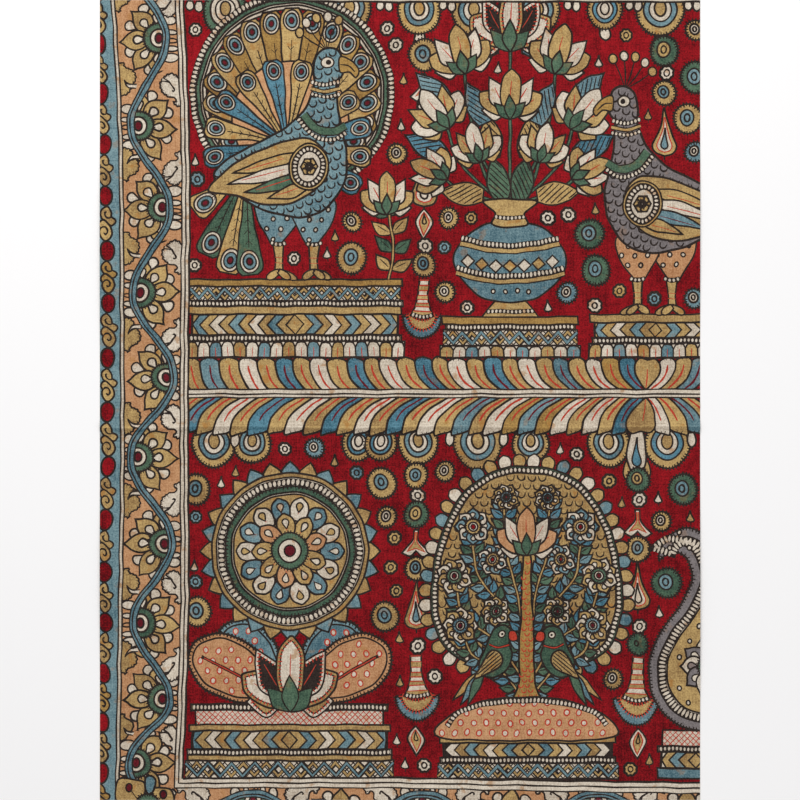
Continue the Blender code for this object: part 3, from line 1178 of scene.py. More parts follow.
# The double curl of the outer strip: its upper curl with a tail, its lower curl, and the pen line in each.
UPPER_CURL = (
    (-0.5, 14.3), (1.9, 12.4), (3.4, 9), (3.3, 5.9), (5.3, 4.8), (7.4, 3.4), (7.6, 1), (4.6, -1.7),
    (0.5, 1),
    (-3.3, 3.1), (-5, 5.9), (-5.5, 8.6), (-4.3, 11.7),
)
LOWER_CURL = (
    (-2.9, 3.1), (0.5, 1), (4, -2.4), (5.7, -5.9), (5.9, -9), (4, -12.4), (0.9, -14.6), (-1.9, -13.4),
    (-4.3, -9.6), (-5, -6.2), (-4.6, -4.5), (-6.2, -2.1), (-6, 0.7),
)
CURL_LINES = (
    ((3.4, 5), (0.5, 4.8), (-1.5, 6.5), (-1.8, 9), (-0.3, 9.8)),
    ((-4.6, -4.8), (-2.8, -2.8), (0.2, -3.1), (2.1, -5.9), (1.5, -8.3), (0.2, -8.8), (-1.2, -7.4)),
)


def scroll(art, centre, length):
    """The double curl that parts the red beads of the outer strip."""
    place = Place(centre.real, centre.imag, art.hand.uniform(-5, 5), length / 30)
    dye = AMBER if art.hand.random() < 0.2 else OCHRE
    for outline in (UPPER_CURL, LOWER_CURL):
        art.outlined(place(curve(outline, closed=True, step=2.6)), dye)
    for line in CURL_LINES:
        art.stroke(place(curve(line, step=2.0)), 1.25)


# The red beads of the outer strip: x, y.
BEADS = (
    (-270.6, 320.2), (-268.8, 276.0), (-266.0, 229.7), (-265.0, 183.2), (-263.2, 134.4), (-262.3, 87.0),
    (-263.0, 37.7), (-263.2, -10.4), (-262.6, -59.9), (-265.2, -108.1), (-265.8, -154.6), (-265.0, -200.1),
    (-266.8, -246.1), (-267.6, -290.0), (-268.4, -335.4),
)


def side_border(art):
    """The outer strip, the vine band and the ruled lines beside them."""
    strip = STRIP_LINE.run()
    art.fill([complex(LEFT - 5, TOP + 4)] + strip + [complex(LEFT - 5, BOTTOM - 4)], BLUE, 0.7)
    beads = [(-272.0, 367.0)] + list(BEADS) + [(-269.0, -382.0)]
    for (x0, y0), (x1, y1) in zip(beads, beads[1:]):
        scroll(art, complex((x0 + x1) / 2, (y0 + y1) / 2), y0 - y1 - 17.5)
    for x, y in beads:
        art.outlined(oval(complex(x, y), art.vary(6.1, 0.04), art.vary(8.7, 0.04)), RED)
    peach = STRIP_LINE.run(STRIP_RULE) + VINE_LINE.run()[::-1]
    art.fill(peach, PEACH, -0.2)
    vine(art, STEM_TURNS, (lambda y: STRIP_LINE(y) + STRIP_RULE, VINE_LINE))
    art.fill(STRIP_LINE.run() + STRIP_LINE.run(STRIP_RULE)[::-1], CREAM)
    art.stroke(STRIP_LINE.run(), 1.15, taper=1)
    art.stroke(STRIP_LINE.run(STRIP_RULE), 1.05, taper=1)


def frame_lines(art):
    """The ruled frame of the field: two cream rules between three ink lines, at the left and the foot."""
    corner = (VINE_LINE(FOOT_LINE[0][1]), FOOT_LINE[0][1])
    down = VINE_LINE.run(0, corner[1] - 9)
    art.fill(down + VINE_LINE.run(FRAME_RULES[2], corner[1] - 9)[::-1], CREAM)
    foot = curve(FOOT_LINE, step=16)
    foot = [complex(*corner)] + [p for p in foot if p.real > corner[0] + 1]

    def spread(p):
        """The rules at the foot lie further apart towards the right."""
        return 1.17 + 0.16 * (p.real - corner[0]) / (RIGHT - corner[0])

    below = [p - 1j * FRAME_RULES[2] * spread(p) for p in foot]
    art.fill(foot + below[::-1], CREAM)
    for away, ink in zip(FRAME_RULES, FRAME_INK):
        low = corner[1] - (FRAME_RULES[2] - away) * spread(foot[0])
        upright = VINE_LINE.run(away, low)
        art.stroke(upright, ink, taper=1)
        level = [p - 1j * (FRAME_RULES[2] - away) * spread(p) for p in foot if p.real > upright[-1].real]
        art.stroke([upright[-1]] + level, ink, taper=1)


# The upper edge of the ruled line at the foot of the field: x, y.
FOOT_LINE = ((-206, -340.8), (-150, -340.2), (-60, -340.0), (0, -340.0), (90, -341.6), (180, -343.2),
    (280, -344.4))
HEAD_LINE = ((-206, 362.5), (-135, 360.3), (-90, 358.9), (0, 358.2), (280, 358.2))
LEAF_TOP, LEAF_RULE_TOP, LEAF_RULE_LOW, LEAF_FOOT = 38.4, 9.6, 2.2, -30.5
HEART_X = 221.5
# Where the leaves of the band part at their free ends: left of the broad heart leaf, then right of it.
UPPER_SEAMS = (
    (-196, -180.4, -163.4, -145, -128.2, -112.1, -96.5, -81.1, -65.9, -48.3, -33, -18.9, -2.8, 13.2, 28.9,
        43,
     59.4, 74.5, 91.3, 105.8, 121.9, 137.2, 151.7, 167.3, 180.8, 196.5, 211.4),
    (233.7, 248, 262.8, 278),
)
LOWER_SEAMS = (
    (-214, -198, -183.5, -168.3, -153, -137.7, -118.8, -103.5, -86.9, -71.1, -57, -41.4, -27.9, -13, 1.8,
        15.3,
     31, 46.4, 62.1, 74.7, 91.3, 105.3, 121, 135.3, 150.2, 163.6, 178, 191.0, 203.4),
    (229.0, 242.5, 259.2, 273.6, 288),
)
# The dyes of the leaves, counted outwards from the heart leaf.
UPPER_LEAVES = ((BLUE, OCHRE, CREAM, OCHRE), (CREAM, OCHRE, BLUE, OCHRE))
LOWER_LEAVES = ((BLUE, OCHRE, CREAM, OCHRE, CREAM, OCHRE), (CREAM, OCHRE, BLUE, OCHRE))


def band_leaf(art, a, b, root, rise, sweep, side, dye):
    """One leaf of the band, from its root on the ruled lines to its free end between a and b."""
    def edge(x, share):
        base = x + side * sweep * (1 - share) ** (2.8 if rise > 0 else 2.4)
        base = min(base, HEART_X - 0.6) if side > 0 else max(base, HEART_X + 0.6)
        return complex(base, root + rise * share)

    near, far = (a, b) if side > 0 else (b, a)
    shares = (0.0, 0.08, 0.2, 0.36, 0.6, 0.82 if rise > 0 else 0.9)
    one = curve([edge(near, s) for s in shares])
    other = curve([edge(far, s) for s in shares])
    width = far - near
    peak = art.hand.uniform(0.38, 0.62)
    ends = ((0.07, 0.91), (peak * 0.5, 0.975), (peak, 1.0), (peak * 0.5 + 0.48, 0.965), (0.95, 0.9))
    if rise < 0:
        ends = ((0.02, 1.03), (0.4, 0.99), (0.8, 0.95))
    end = curve([one[-1]] + [complex(near + width * x, root + rise * y) for x, y in ends] + [other[-1]])
    art.outlined(one + end[1:-1] + other[::-1], dye, 1.35)
    for s in (0.35, 0.62):
        tick = complex(near + width * s, root + rise * 0.985)
        art.stroke([tick, tick - complex(side * 0.8, rise * 0.07)], 0.9)
    longest = 0.76 if rise > 0 else 0.64
    vein = [edge((near + far) / 2, s * longest) for s in (0.0, 0.25, 0.5, 0.75, 1.0)]
    art.stroke(curve(vein), 1.65, MAROON if dye in (BLUE, INDIGO) else SCARLET)


def heart_leaf(art, root, rise, a, b):
    """The broad leaf where the two runs of leaves meet."""
    middle, half = HEART_X, (b - a) / 2
    side = [(0.6, 0.0), (half * 0.45, 0.18), (half * 0.92, 0.48), (half, 0.78), (half * 0.62, 0.97),
        (0.0, 0.93)]
    side = curve([complex(x, rise * s) for x, s in side])
    outline = side + flipped(side)[1:-1]
    lean = (a + b) / 2 - middle
    art.outlined([complex(middle + lean * min(1, p.imag / rise * 1.6), root) + p for p in outline], OCHRE,
        1.35)
    art.stroke([complex(middle + (lean + 0.4) * s, root + rise * s) for s in (0.05, 0.35, 0.64)], 1.6,
        SCARLET)


def leaf_band(art):
    """The double band of leaves that parts the two halves of the field."""
    rows = (
        (UPPER_SEAMS, UPPER_LEAVES, LEAF_RULE_TOP, LEAF_TOP, (8.0, 15.8)),
        (LOWER_SEAMS, LOWER_LEAVES, LEAF_RULE_LOW, LEAF_FOOT, (25.0, 28.0)),
    )
    for (left, right), (left_dyes, right_dyes), root, end, sweep in rows:
        rise = end - root
        for k in range(len(left) - 1):
            out = len(left) - 2 - k
            dye = left_dyes[out % 4 if out < 4 or len(left_dyes) == 4 else (out + 2) % 4]
            share = min(1.0, max(0.0, (left[k] + 190) / 230))
            lean = (sweep[0] + (sweep[1] - sweep[0]) * share) * (min(1,
                0.66 + 0.06 * out) if rise < 0 else 1)
            if art.hand.random() < (0.16 if dye == OCHRE else 0.62):
                dye = {OCHRE: AMBER, BLUE: INDIGO}.get(dye, dye)
            band_leaf(art, left[k], left[k + 1], root, rise * art.vary(1, 0.02), lean, 1, dye)
        for k in range(len(right) - 2, -1, -1):
            lean = sweep[1] * (0.95 if rise > 0 else min(0.82, 0.46 + 0.18 * k))
            band_leaf(art, right[k], right[k + 1], root, rise * art.vary(1, 0.02), lean, -1,
                right_dyes[k % 4])
        heart_leaf(art, root, rise, left[-1], right[0])
    low, high = LEAF_RULE_LOW, LEAF_RULE_TOP
    left = VINE_LINE(high) + FRAME_RULES[2]
    art.fill(box(left, low, RIGHT + 5, high, 30), CREAM)
    for y, ink in ((high, 1.05), ((high + low) / 2 - 0.6, 1.2), (low, 1.1)):
        line = [complex(left + (RIGHT + 5 - left) * i / 30, y) for i in range(31)]
        art.stroke(line, ink, taper=1)


UPPER_FOOT = 38.0
LOWER_FOOT = -340.5


# How high the middles of the half rosettes lie.
HEAD_ROSETTES = 350.5
BAND_ROSETTES = -38.5


def hanging_row(art):
    """Half rosettes and drops under the head of the field and under the leaf band."""
    heads = (
        (-157.5, GREEN, 1.0), (-100, OCHRE, 1.0), (-46, OCHRE, 1.0), (17.3, OCHRE, 1.0), (66.6, OCHRE, 1.0),
        (124, OCHRE, 1.0), (184.5, OCHRE, 0.8), (234, OCHRE, 1.1),
    )
    for x, dye, size in heads:
        low = HEAD_ROSETTES - 21 * size
        art.outlined(spindle(complex(x, low + 2), complex(x, low - 13 * size), 9.5, PETAL), CREAM)
        rings = (CREAM, CREAM, OCHRE) if dye == GREEN else (INDIGO, CREAM,
            CREAM) if size < 0.9 else (BLUE, CREAM, OCHRE)
        half_rosette(art, x, HEAD_ROSETTES, dye, size, rings)
    under = (
        (-167.4, 1.0), (-133.2, 0.86), (-37.5, 0.74), (-17.4, 0.74), (16.2, 0.92), (70.2, 1.12),
        (117.4, 0.84),
        (188, 0.98), (240.3, 1.05),
    )
    for x, size in under:
        rings = (INDIGO, CREAM, OCHRE) if x > 230 else (INDIGO, CREAM, CREAM) if size < 0.8 else (BLUE,
            CREAM, OCHRE)
        half_rosette(art, x, BAND_ROSETTES, OCHRE, size, rings)
    for x in (-186, -128, -73, -15, 42, 95, 154, 209, 262):
        art.outlined(spindle(complex(x - 3, 359), complex(x - 3, 350.5), 7, BUD), CREAM)
        art.outlined(spindle(complex(x + 5, 359), complex(x + 5, 349.5), 7, BUD), CREAM)
    for x in (-149, 45, 93, 262):
        art.outlined(spindle(complex(x, -29), complex(x, -42), 7.5, BUD), CREAM)
    art.outlined(spindle(complex(213, -52), complex(213, -76), 25, BUD), OCHRE)
    art.outlined(spindle(complex(213, -28), complex(213, -69), 17, BUD), CREAM)
    art.outlined(spindle(complex(213, -34), complex(213, -60), 8, DROP), INDIGO)


def upper_field(art):
    """The upper half: a bird with its fan, a vase of lotuses and a tall bird at the right edge."""
    chain(art, 21.5, (
        ("disc", 310.4, 13.4, ()), ("bell", 293.5, 24, ()), ("rosette", 266.4, 6.8, ()),
        ("disc", 250.5, 5.6, (OCHRE, None)),
        ("disc", 231, 9.8, (GREEN, None)), ("drop", 219.5, 46, (OCHRE, CREAM, CREAM)),
        ("flame", 171, 26, ()),
        ("rosette", 139, 6.0, ()), ("disc", 122, 10.5, ()), ("tassel", 108, 52, ()),
    ))
    chain(art, 238, (
        ("disc", 314, 12.5, (GREEN, OCHRE)), ("rosette", 294, 6.4, ()), ("disc", 276, 10.0, ()),
        ("drop", 262, 42, (OCHRE, CREAM, BLUE)),
    ))
    top = platform(art, -193, 4, UPPER_FOOT, (
        (15, 0, "tongues", CREAM), (5.4, 3, "pearls", OCHRE), (19, 6, "chevrons", OCHRE),
        (7, 3, "plain", OCHRE),
        (5, 1, "pearls", CREAM), (13, 4, "zigzag", OCHRE), (6, 2, "plain", AMBER),
    ))
    p = Place(-92, top, 0, 1.22)
    fan = Place(-97, top, 0, 1.0)
    fan_halo(art, fan, (0, 166), 80)
    for k, (x, y) in enumerate(((-88, 62), (-78, 22), (-58, 6), (-38, 4))):
        eye_feather(art, fan(-42, 96), fan(x, y), 23, (OCHRE, GREEN)[k % 2])
    own = Place(-8, top)
    sprig(art, own.line([(-2, 0), (2, 30), (-3, 66)], 4), 21, (OCHRE, GREEN), 15, 11)
    lotus(art, Place(-12, top + 64), 1.45, (CREAM, OCHRE))
    bird(art, p)
    top = platform(art, 36, 162, UPPER_FOOT, (
        (11, 0, "tongues", CREAM), (14, 3, "zigzag", OCHRE), (5, 5, "pearls", OCHRE),
        (7, 2, "plain", AMBER),
    ))
    lotus_vase(art, Place(99, top, 0, 1.26))
    top = platform(art, 170, 290, UPPER_FOOT, (
        (13, 0, "tongues", CREAM), (5, 3, "pearls", OCHRE), (14, 5, "chevrons", OCHRE),
        (7, 1, "plain", OCHRE),
    ))
    bird(art, Place(228, top, 0, 1.2, mirror=True), GREY, (OCHRE, CREAM, BLUE), PEACH)


def lower_field(art):
    """The lower half: a great lotus on a platform, a flowering tree and a paisley at the right edge."""
    chain(art, 14.5, (
        ("disc", -68, 10.4, ()), ("rosette", -86, 6.4, ()), ("disc", -103, 11.2, (GREEN, OCHRE)),
        ("bell", -117, 24, ()),
        ("disc", -152, 9.8, ()), ("drop", -164, 42, (OCHRE, CREAM, BLUE)), ("rosette", -221, 6.2, ()),
        ("tassel", -230, 58, ()),
        ("flame", -294, 26, ()),
    ))
    chain(art, 214, (
        ("disc", -72, 10, (GREEN, OCHRE)), ("rosette", -90, 6.2, ()), ("bell", -99, 24, ()),
        ("disc", -134, 10.5, ()),
        ("drop", -147, 42, (OCHRE, CREAM, CREAM)), ("rosette", -204, 6, ()),
        ("disc", -220, 9, (GREEN, None)),
        ("tassel", -232, 60, ()), ("flame", -296, 26, ()),
    ))
    top = platform(art, -193, -6, LOWER_FOOT, (
        (16, 0, "zigzag", OCHRE), (5, 2, "plain", OCHRE), (5, 2, "pearls", CREAM),
        (17, 6, "chevrons", OCHRE),
        (5.4, 3, "plain", OCHRE), (13, 9, "net", CREAM), (5.4, 5, "pearls", OCHRE),
    ))
    for side in (1, -1):
        lotus_leaf(art, Place(-99 + side * 3, top - 4, side * 22, 1.05, mirror=side < 0), BLUE)
        lotus_leaf(art, Place(-99, top - 4, 0, 1.17, mirror=side < 0), PEACH)
    medallion(art, complex(-99, -136), 81)
    lotus(art, Place(-99, top + 2), 2.6, (CREAM, OCHRE))
    top = platform(art, 34, 196, LOWER_FOOT, (
        (14, 0, "zigzag", OCHRE), (5, 2, "pearls", CREAM), (13, 5, "chevrons", OCHRE),
        (5, 2, "plain", OCHRE),
    ))
    tree(art, Place(114, top, 0, 0.93))
    top = platform(art, 232, 300, LOWER_FOOT, (
        (9, 0, "plain", BLUE), (15, 3, "chevrons", OCHRE), (5, 0, "pearls", CREAM), (14, 4, "net", CREAM),
    ))
    paisley(art, Place(280, top, 0, 1.75, mirror=True), (GREY, OCHRE, CREAM))


FOOT_TURNS = (
    (-243, 225), (-206, 132), (-243, 56), (-206, -20), (-243, -98), (-206, -179), (-243, -257),
    (-206, -340),
)


def foot_band(art):
    """The start of the vine band that runs below the field."""
    art.fill(box(-204, BOTTOM - 4, RIGHT + 4, -345), PEACH, -0.2)

    def lay(x, y=None):
        x, y = (x.real, x.imag) if y is None else (x, y)
        return complex(-y, -350.5 + (x + 202.5))

    vine(art, FOOT_TURNS, (lambda y: -255.0, lambda y: -200.3), lay)


def corner_flower(art):
    """The flower where the two vine bands meet."""
    for points, eye, root in (
        ([(-253, -342), (-236, -342.5), (-230, -345), (-229, -352), (-232, -362), (-254, -362)],
            (-243.6, -349), (-234, -362)),
        ([(-224, -352), (-219, -348.5), (-210, -349), (-205.5, -352), (-204, -362), (-223, -362)],
            (-213, -354.5), (-219, -362)),
    ):
        art.outlined(curve(points, closed=True), OCHRE)
        art.stroke([complex(*eye), complex(*root)], 1.4)
        art.outlined(oval(complex(*eye), 2.8, 3.8, step=1.8), MAROON, 1.2)
    art.outlined(curve([(-229, -340), (-224, -338.2), (-220, -342), (-221, -350), (-225, -355),
        (-228.5, -350)], closed=True), BLUE)
    ring = oval(complex(-227, -362), 9.5, 7.5)
    art.outlined(ring, GREEN)
    fringe(art, ring, 2.2, 2.4, 1.0)


def strewn(art):
    """Small rosettes and drops in whatever red ground is left between the motifs."""
    taken = art.taken
    free = []
    step = 4.0
    for i in range(int(-186 / step), int(268 / step)):
        for j in range(int(-334 / step), int(352 / step)):
            free.append(complex(i * step + art.hand.uniform(-1.5, 1.5),
                j * step + art.hand.uniform(-1.5, 1.5)))
    art.hand.shuffle(free)

    def clear(spot, reach):
        cells = int(reach / CELL) + 1
        for a in range(-cells, cells + 1):
            for b in range(-cells, cells + 1):
                if abs(complex(a, b)) * CELL <= reach:
                    if (round(spot.real / CELL) + a, round(spot.imag / CELL) + b) in taken:
                        return False
        return True

    kinds = ((17.6, "great"), (12.2, "disc"), (8.7, "rosette"), (7.6, "drop"))
    for reach, kind in kinds:
        for spot in free:
            if not clear(spot, reach):
                continue
            x, y = spot.real, spot.imag
            if kind == "great":
                disc(art, x, y, 12.5, (OCHRE, GREEN)[art.hand.randrange(2)], BLUE)
            elif kind == "disc":
                disc(art, x, y, 8.4, (OCHRE, BLUE, OCHRE)[art.hand.randrange(3)], CREAM)
            elif kind == "rosette":
                little_rosette(art, spot, 5.6, (CREAM, BLUE, CREAM, OCHRE)[art.hand.randrange(4)])
            elif kind == "drop":
                art.outlined(spindle(complex(x, y + 5), complex(x, y - 5), 6.6, DROP),
                    (OCHRE, CREAM)[art.hand.randrange(2)], 1.1)
                art.stroke([complex(x, y - 4.5), complex(x + 0.6, y - 8)], 1.2)


def paint(art):
    """The whole drawing, the lowest dye first."""
    ground = box(LEFT - 3, BOTTOM - 3, RIGHT + 3, TOP + 3, 40)
    art.fill(ground, RED, 0.0)
    art.taken.clear()
    hanging_row(art)
    leaf_band(art)
    upper_field(art)
    lower_field(art)
    strewn(art)
    foot_band(art)
    side_border(art)
    frame_lines(art)
    corner_flower(art)
    head = curve(HEAD_LINE, step=14)
    art.fill(head + [complex(RIGHT + 9, TOP + 5), complex(-206, TOP + 5)], CREAM)
    art.stroke(head, 1.5, taper=1)
    return art


def crease_height(x, y, crease):
    """Height of one crease at a point: a soft ridge that fades out at its two ends."""
    start, end, height, half_width = crease[2:6]
    across = abs(y - crease_middle(x, crease)) / half_width
    if across >= 1:
        return 0.0
    along = max(0.0, min(1.0, (x - start) / CREASE_FADE, (end - x) / CREASE_FADE))
    return height * along * (1 - across) ** 1.5


def lift_height(x, y, lift):
    """Height of one lifted place at a point: a smooth swell that ends at its reach."""
    _, lift_x, lift_y, reach_x, reach_y, height = lift
    away = ((x - lift_x) / reach_x) ** 2 + ((y - lift_y) / reach_y) ** 2
    return height * (1 - away) ** 2 if away < 1 else 0.0


def underside_height(x, y):
    """Height of the cloth's underside above the surface, which is 0 wherever it rests."""
    creases = sum(crease_height(x, y, crease) for crease in CREASES)
    return creases + sum(lift_height(x, y, lift) for lift in LIFTS)


def surface_normal(x, y, reach=0.0006):
    """The cloth's upward direction at a point."""
    slope_x = (underside_height(x + reach, y) - underside_height(x - reach, y)) / (2 * reach)
    slope_y = (underside_height(x, y + reach) - underside_height(x, y - reach)) / (2 * reach)
    return Vector((-slope_x, -slope_y, 1.0)).normalized()


GRID = 12.0
CREASE_ROWS = (-8, -5.6, -3.6, -2, -0.9, 0, 0.9, 2, 3.6, 5.6, 8)


def crease_middle(x, crease):
    """How high up the cloth a crease's ridge runs at a place across it."""
    return crease[1] + crease[6] * math.sin(math.tau * x / WAVER_LENGTH)


def loose_points(spacing):
    """Points inside the panel that carry its shape where the drawing has none."""
    columns = math.ceil(2 * RIGHT / spacing)
    rows = math.ceil(2 * TOP / spacing)
    across = [LEFT + 2 * RIGHT * i / columns for i in range(1, columns)]
    return [complex(x, BOTTOM + 2 * TOP * j / rows) for j in range(1, rows) for x in across]


def crease_lines(base, spacing=6.0):
    """Lines along each crease's ridge and flanks: their points, and their edges numbered from base."""
    spots, edges = [], []
    for crease in CREASES:
        start = max(LEFT, crease[2] / MM)
        count = math.ceil((RIGHT - start) / spacing)
        for row in CREASE_ROWS:
            for i in range(count + 1):
                x = start + (RIGHT - start) * i / count
                if i:
                    edges.append((base + len(spots) - 1, base + len(spots)))
                spots.append(complex(x, crease_middle(x * MM,
                    crease) / MM + row * crease[5] / CREASES[0][5]))
    return spots, edges


def rim_points(spacing=9.0):
    """Points along the cut edge, counter-clockwise from the lower left corner."""
    ridges = {-1: [], 1: []}
    for crease in CREASES:
        for side in (-1, 1):
            if side > 0 or crease[2] / MM < LEFT:
                middle = crease_middle(side * RIGHT * MM, crease) / MM
                ridges[side] += [middle + row * crease[5] / CREASES[0][5] for row in CREASE_ROWS]

    def along(side):
        count = math.ceil(2 * TOP / spacing)
        even = [BOTTOM + 2 * TOP * i / count for i in range(1, count)]
        clear = [y for y in even if all(abs(y - ridge) > 1.5 for ridge in ridges[side])]
        return [complex(side * RIGHT, y) for y in sorted(clear + ridges[side])]

    count = math.ceil(2 * RIGHT / spacing)
    across = [LEFT + 2 * RIGHT * i / count for i in range(count + 1)]
    foot = [complex(x, BOTTOM) for x in across]
    head = [complex(x, TOP) for x in across[::-1]]
    return foot + along(1) + head + along(-1)[::-1]


def triangulate(outlines, extra, edges=()):
    """Triangles of all the outlines together, each with the outlines that it lies in."""
    corners, faces = [], []
    for outline in outlines:
        faces.append(list(range(len(corners), len(corners) + len(outline))))
        corners += outline
    corners = [Vector((p.real, p.imag)) for p in corners + extra]
    found = delaunay_2d_cdt(corners, list(edges), faces, 1, 1e-5, True)
    return found[0], found[2], found[5]


def shaken_out(line, loosest):
    """A line with the points left out that lie within a distance of the rest (Douglas and Peucker)."""
    keep = [False] * len(line)
    keep[0] = keep[-1] = True
    spans = [(0, len(line) - 1)]
    while spans:
        first, last = spans.pop()
        run = line[last] - line[first]
        length = abs(run)
        worst, where = 0.0, -1
        for i in range(first + 1, last):
            reach = line[i] - line[first]
            away = abs((run.conjugate() * reach).imag) / length if length > 1e-6 else abs(reach)
            if away > worst:
                worst, where = away, i
        if worst > loosest:
            keep[where] = True
            spans += [(first, where), (where, last)]
    return [i for i, kept in enumerate(keep) if kept]


def seams(triangles, dyes):
    """The lines where one dye meets another, as chains of corner numbers."""
    owners = {}
    for t, (a, b, c) in enumerate(triangles):
        for i, j in ((a, b), (b, c), (c, a)):
            owners.setdefault((i, j) if i < j else (j, i), []).append(t)
    near = {}
    for (i, j), both in owners.items():
        if len(both) == 2 and dyes[both[0]] != dyes[both[1]]:
            near.setdefault(i, []).append(j)
            near.setdefault(j, []).append(i)
    walked = set()
    chains = []

    def walk(first, second):
        run = [first, second]
        walked.add((min(first, second), max(first, second)))
        while len(near[run[-1]]) == 2:
            a, b = near[run[-1]]
            following = b if a == run[-2] else a
            step = (min(run[-1], following), max(run[-1], following))
            if step in walked:
                break
            walked.add(step)
            run.append(following)
        chains.append(run)

    for ends_only in (True, False):
        for first, neighbours in near.items():
            if ends_only and len(neighbours) == 2:
                continue
            for second in neighbours:
                if (min(first, second), max(first, second)) not in walked:
                    walk(first, second)
    return chains


def spilt_outlines(outlines, flat, triangles, within):
    """The outlines whose inside the triangulation mistook, because they cross themselves."""
    covered = [0.0] * len(outlines)
    for (a, b, c), owners in zip(triangles, within):
        area = ((flat[b] - flat[a]).conjugate() * (flat[c] - flat[a])).imag / 2
        for k in owners:
            covered[k] += area
    return {k for k, area in enumerate(covered) if area > 1.4 * abs(signed_area(outlines[k])) + 12}


def painted_face(art, loosest=0.11):
    """The flat face as corners, triangles, and the dye and dip of each triangle.

    All the outlines are triangulated once; then only the lines that show between two dyes are kept,
    and the face is triangulated again from those.
    """
    outlines = [rim_points()]
    looks = [(RED, 0.0)]
    for start, count, dye, dip in art.patches:
        outlines.append(art.corners[start:start + count])
        looks.append((dye, dip))
    corners, triangles, within = triangulate(outlines, [])
    flat = [complex(c.x, c.y) for c in corners]
    spilt = {}
    for k in spilt_outlines(outlines, flat, triangles, within):
        across, up = [p.real for p in outlines[k]], [p.imag for p in outlines[k]]
        spilt[k] = (complex(min(across), min(up)), complex(max(across), max(up)))
    kept = []
    for tri, owners in zip(triangles, within):
        if 0 not in owners:
            continue
        if spilt:
            middle = (flat[tri[0]] + flat[tri[1]] + flat[tri[2]]) / 3
            owners = [k for k in owners if k not in spilt or inside(middle, outlines[k], spilt[k])]
        kept.append((tri, max(owners)))
    triangles = [tri for tri, _ in kept]
    dyes = [looks[top][0] for _, top in kept]
    dips = [looks[top][1] for _, top in kept]
    finder = BVHTree.FromPolygons([(c.x, c.y, 0.0) for c in corners], triangles)

    numbers, spots, edges = {}, [], []
    for chain_ in seams(triangles, dyes):
        half = len(chain_) // 2
        pieces = [chain_[:half + 1], chain_[half:]] if chain_[0] == chain_[-1] else [chain_]
        for piece in pieces:
            line = [flat[i] for i in piece]
            used = [piece[i] for i in shaken_out(line, loosest)]
            for i in used:
                if i not in numbers:
                    numbers[i] = len(spots)
                    spots.append(flat[i])
            edges += [(numbers[a], numbers[b]) for a, b in zip(used, used[1:]) if a != b]
    base = len(spots)
    rim = rim_points()
    spots += rim
    face = [list(range(base, base + len(rim)))]
    spots += loose_points(GRID)
    ridges, ridge_edges = crease_lines(len(spots))
    spots += ridges
    edges += ridge_edges
    found = delaunay_2d_cdt([Vector((p.real, p.imag)) for p in spots], edges, face, 1, 1e-4, True)
    corners, triangles = found[0], found[2]
    new_dyes, new_dips = [], []
    for a, b, c in triangles:
        middle = (corners[a] + corners[b] + corners[c]) / 3
        source = finder.find_nearest((middle.x, middle.y, 0.0))[2]
        new_dyes.append(dyes[source])
        new_dips.append(dips[source])
    return corners, triangles, new_dyes, new_dips


def cloth_mesh(art, thickness):
    """The closed sheet: painted face, plain underside and the cut edge between them."""
    corners, triangles, dyes, dips = painted_face(art)
    used = sorted({i for triangle in triangles for i in triangle})
    renumber = {old: new for new, old in enumerate(used)}
    triangles = [[renumber[i] for i in triangle] for triangle in triangles]
    flat = [complex(corners[i].x, corners[i].y) for i in used]
    edges = {}
    for a, b, c in triangles:
        for start, end in ((a, b), (b, c), (c, a)):
            edges[(start, end)] = True
    rim_next = {start: end for start, end in edges if (end, start) not in edges}
    first = next(iter(rim_next))
    rim = [first]
    while rim_next[rim[-1]] != first:
        rim.append(rim_next[rim[-1]])
    border = [flat[i] for i in rim]
    loose = loose_points(GRID)
    ridges, ridge_edges = crease_lines(len(border) + len(loose))
    back_corners, back_triangles, _ = triangulate([border], loose + ridges, ridge_edges)
    points, faces, slots, tones, backs = [], [], [], [], []
    for p in flat:
        x, y = p.real * MM, p.imag * MM
        points.append((x, y, underside_height(x, y) + thickness))
    faces += triangles
    slots += dyes
    tones += dips
    backs += [0.0] * len(triangles)
    base = len(points)
    for p in back_corners:
        x, y = p.x * MM, p.y * MM
        points.append((x, y, underside_height(x, y)))
    for a, b, c in back_triangles:
        faces.append([base + c, base + b, base + a])
        slots.append(CREAM)
        tones.append(0.0)
        backs.append(1.0)
    for k, i in enumerate(rim):
        j = rim[(k + 1) % len(rim)]
        below_i, below_j = base + k, base + (k + 1) % len(rim)
        faces.append([i, below_i, below_j, j])
        slots.append(CREAM)
        tones.append(0.0)
        backs.append(1.0)
    mesh = bpy.data.meshes.new(CLOTH_NODE + "_painted")
    mesh.from_pydata(points, [], faces)
    mesh.polygons.foreach_set("material_index", slots)
    tone = mesh.attributes.new("dip", "FLOAT", "FACE")
    tone.data.foreach_set("value", tones)
    back = mesh.attributes.new("reverse", "FLOAT", "FACE")
    back.data.foreach_set("value", backs)
    mesh.polygons.foreach_set("use_smooth", [True] * len(faces))
    lay_uv(mesh, len(triangles), len(back_triangles))
    bend_normals(mesh, len(triangles), len(back_triangles))
    mesh.validate(clean_customdata=False)
    return mesh


FACE_SHARE = 0.75


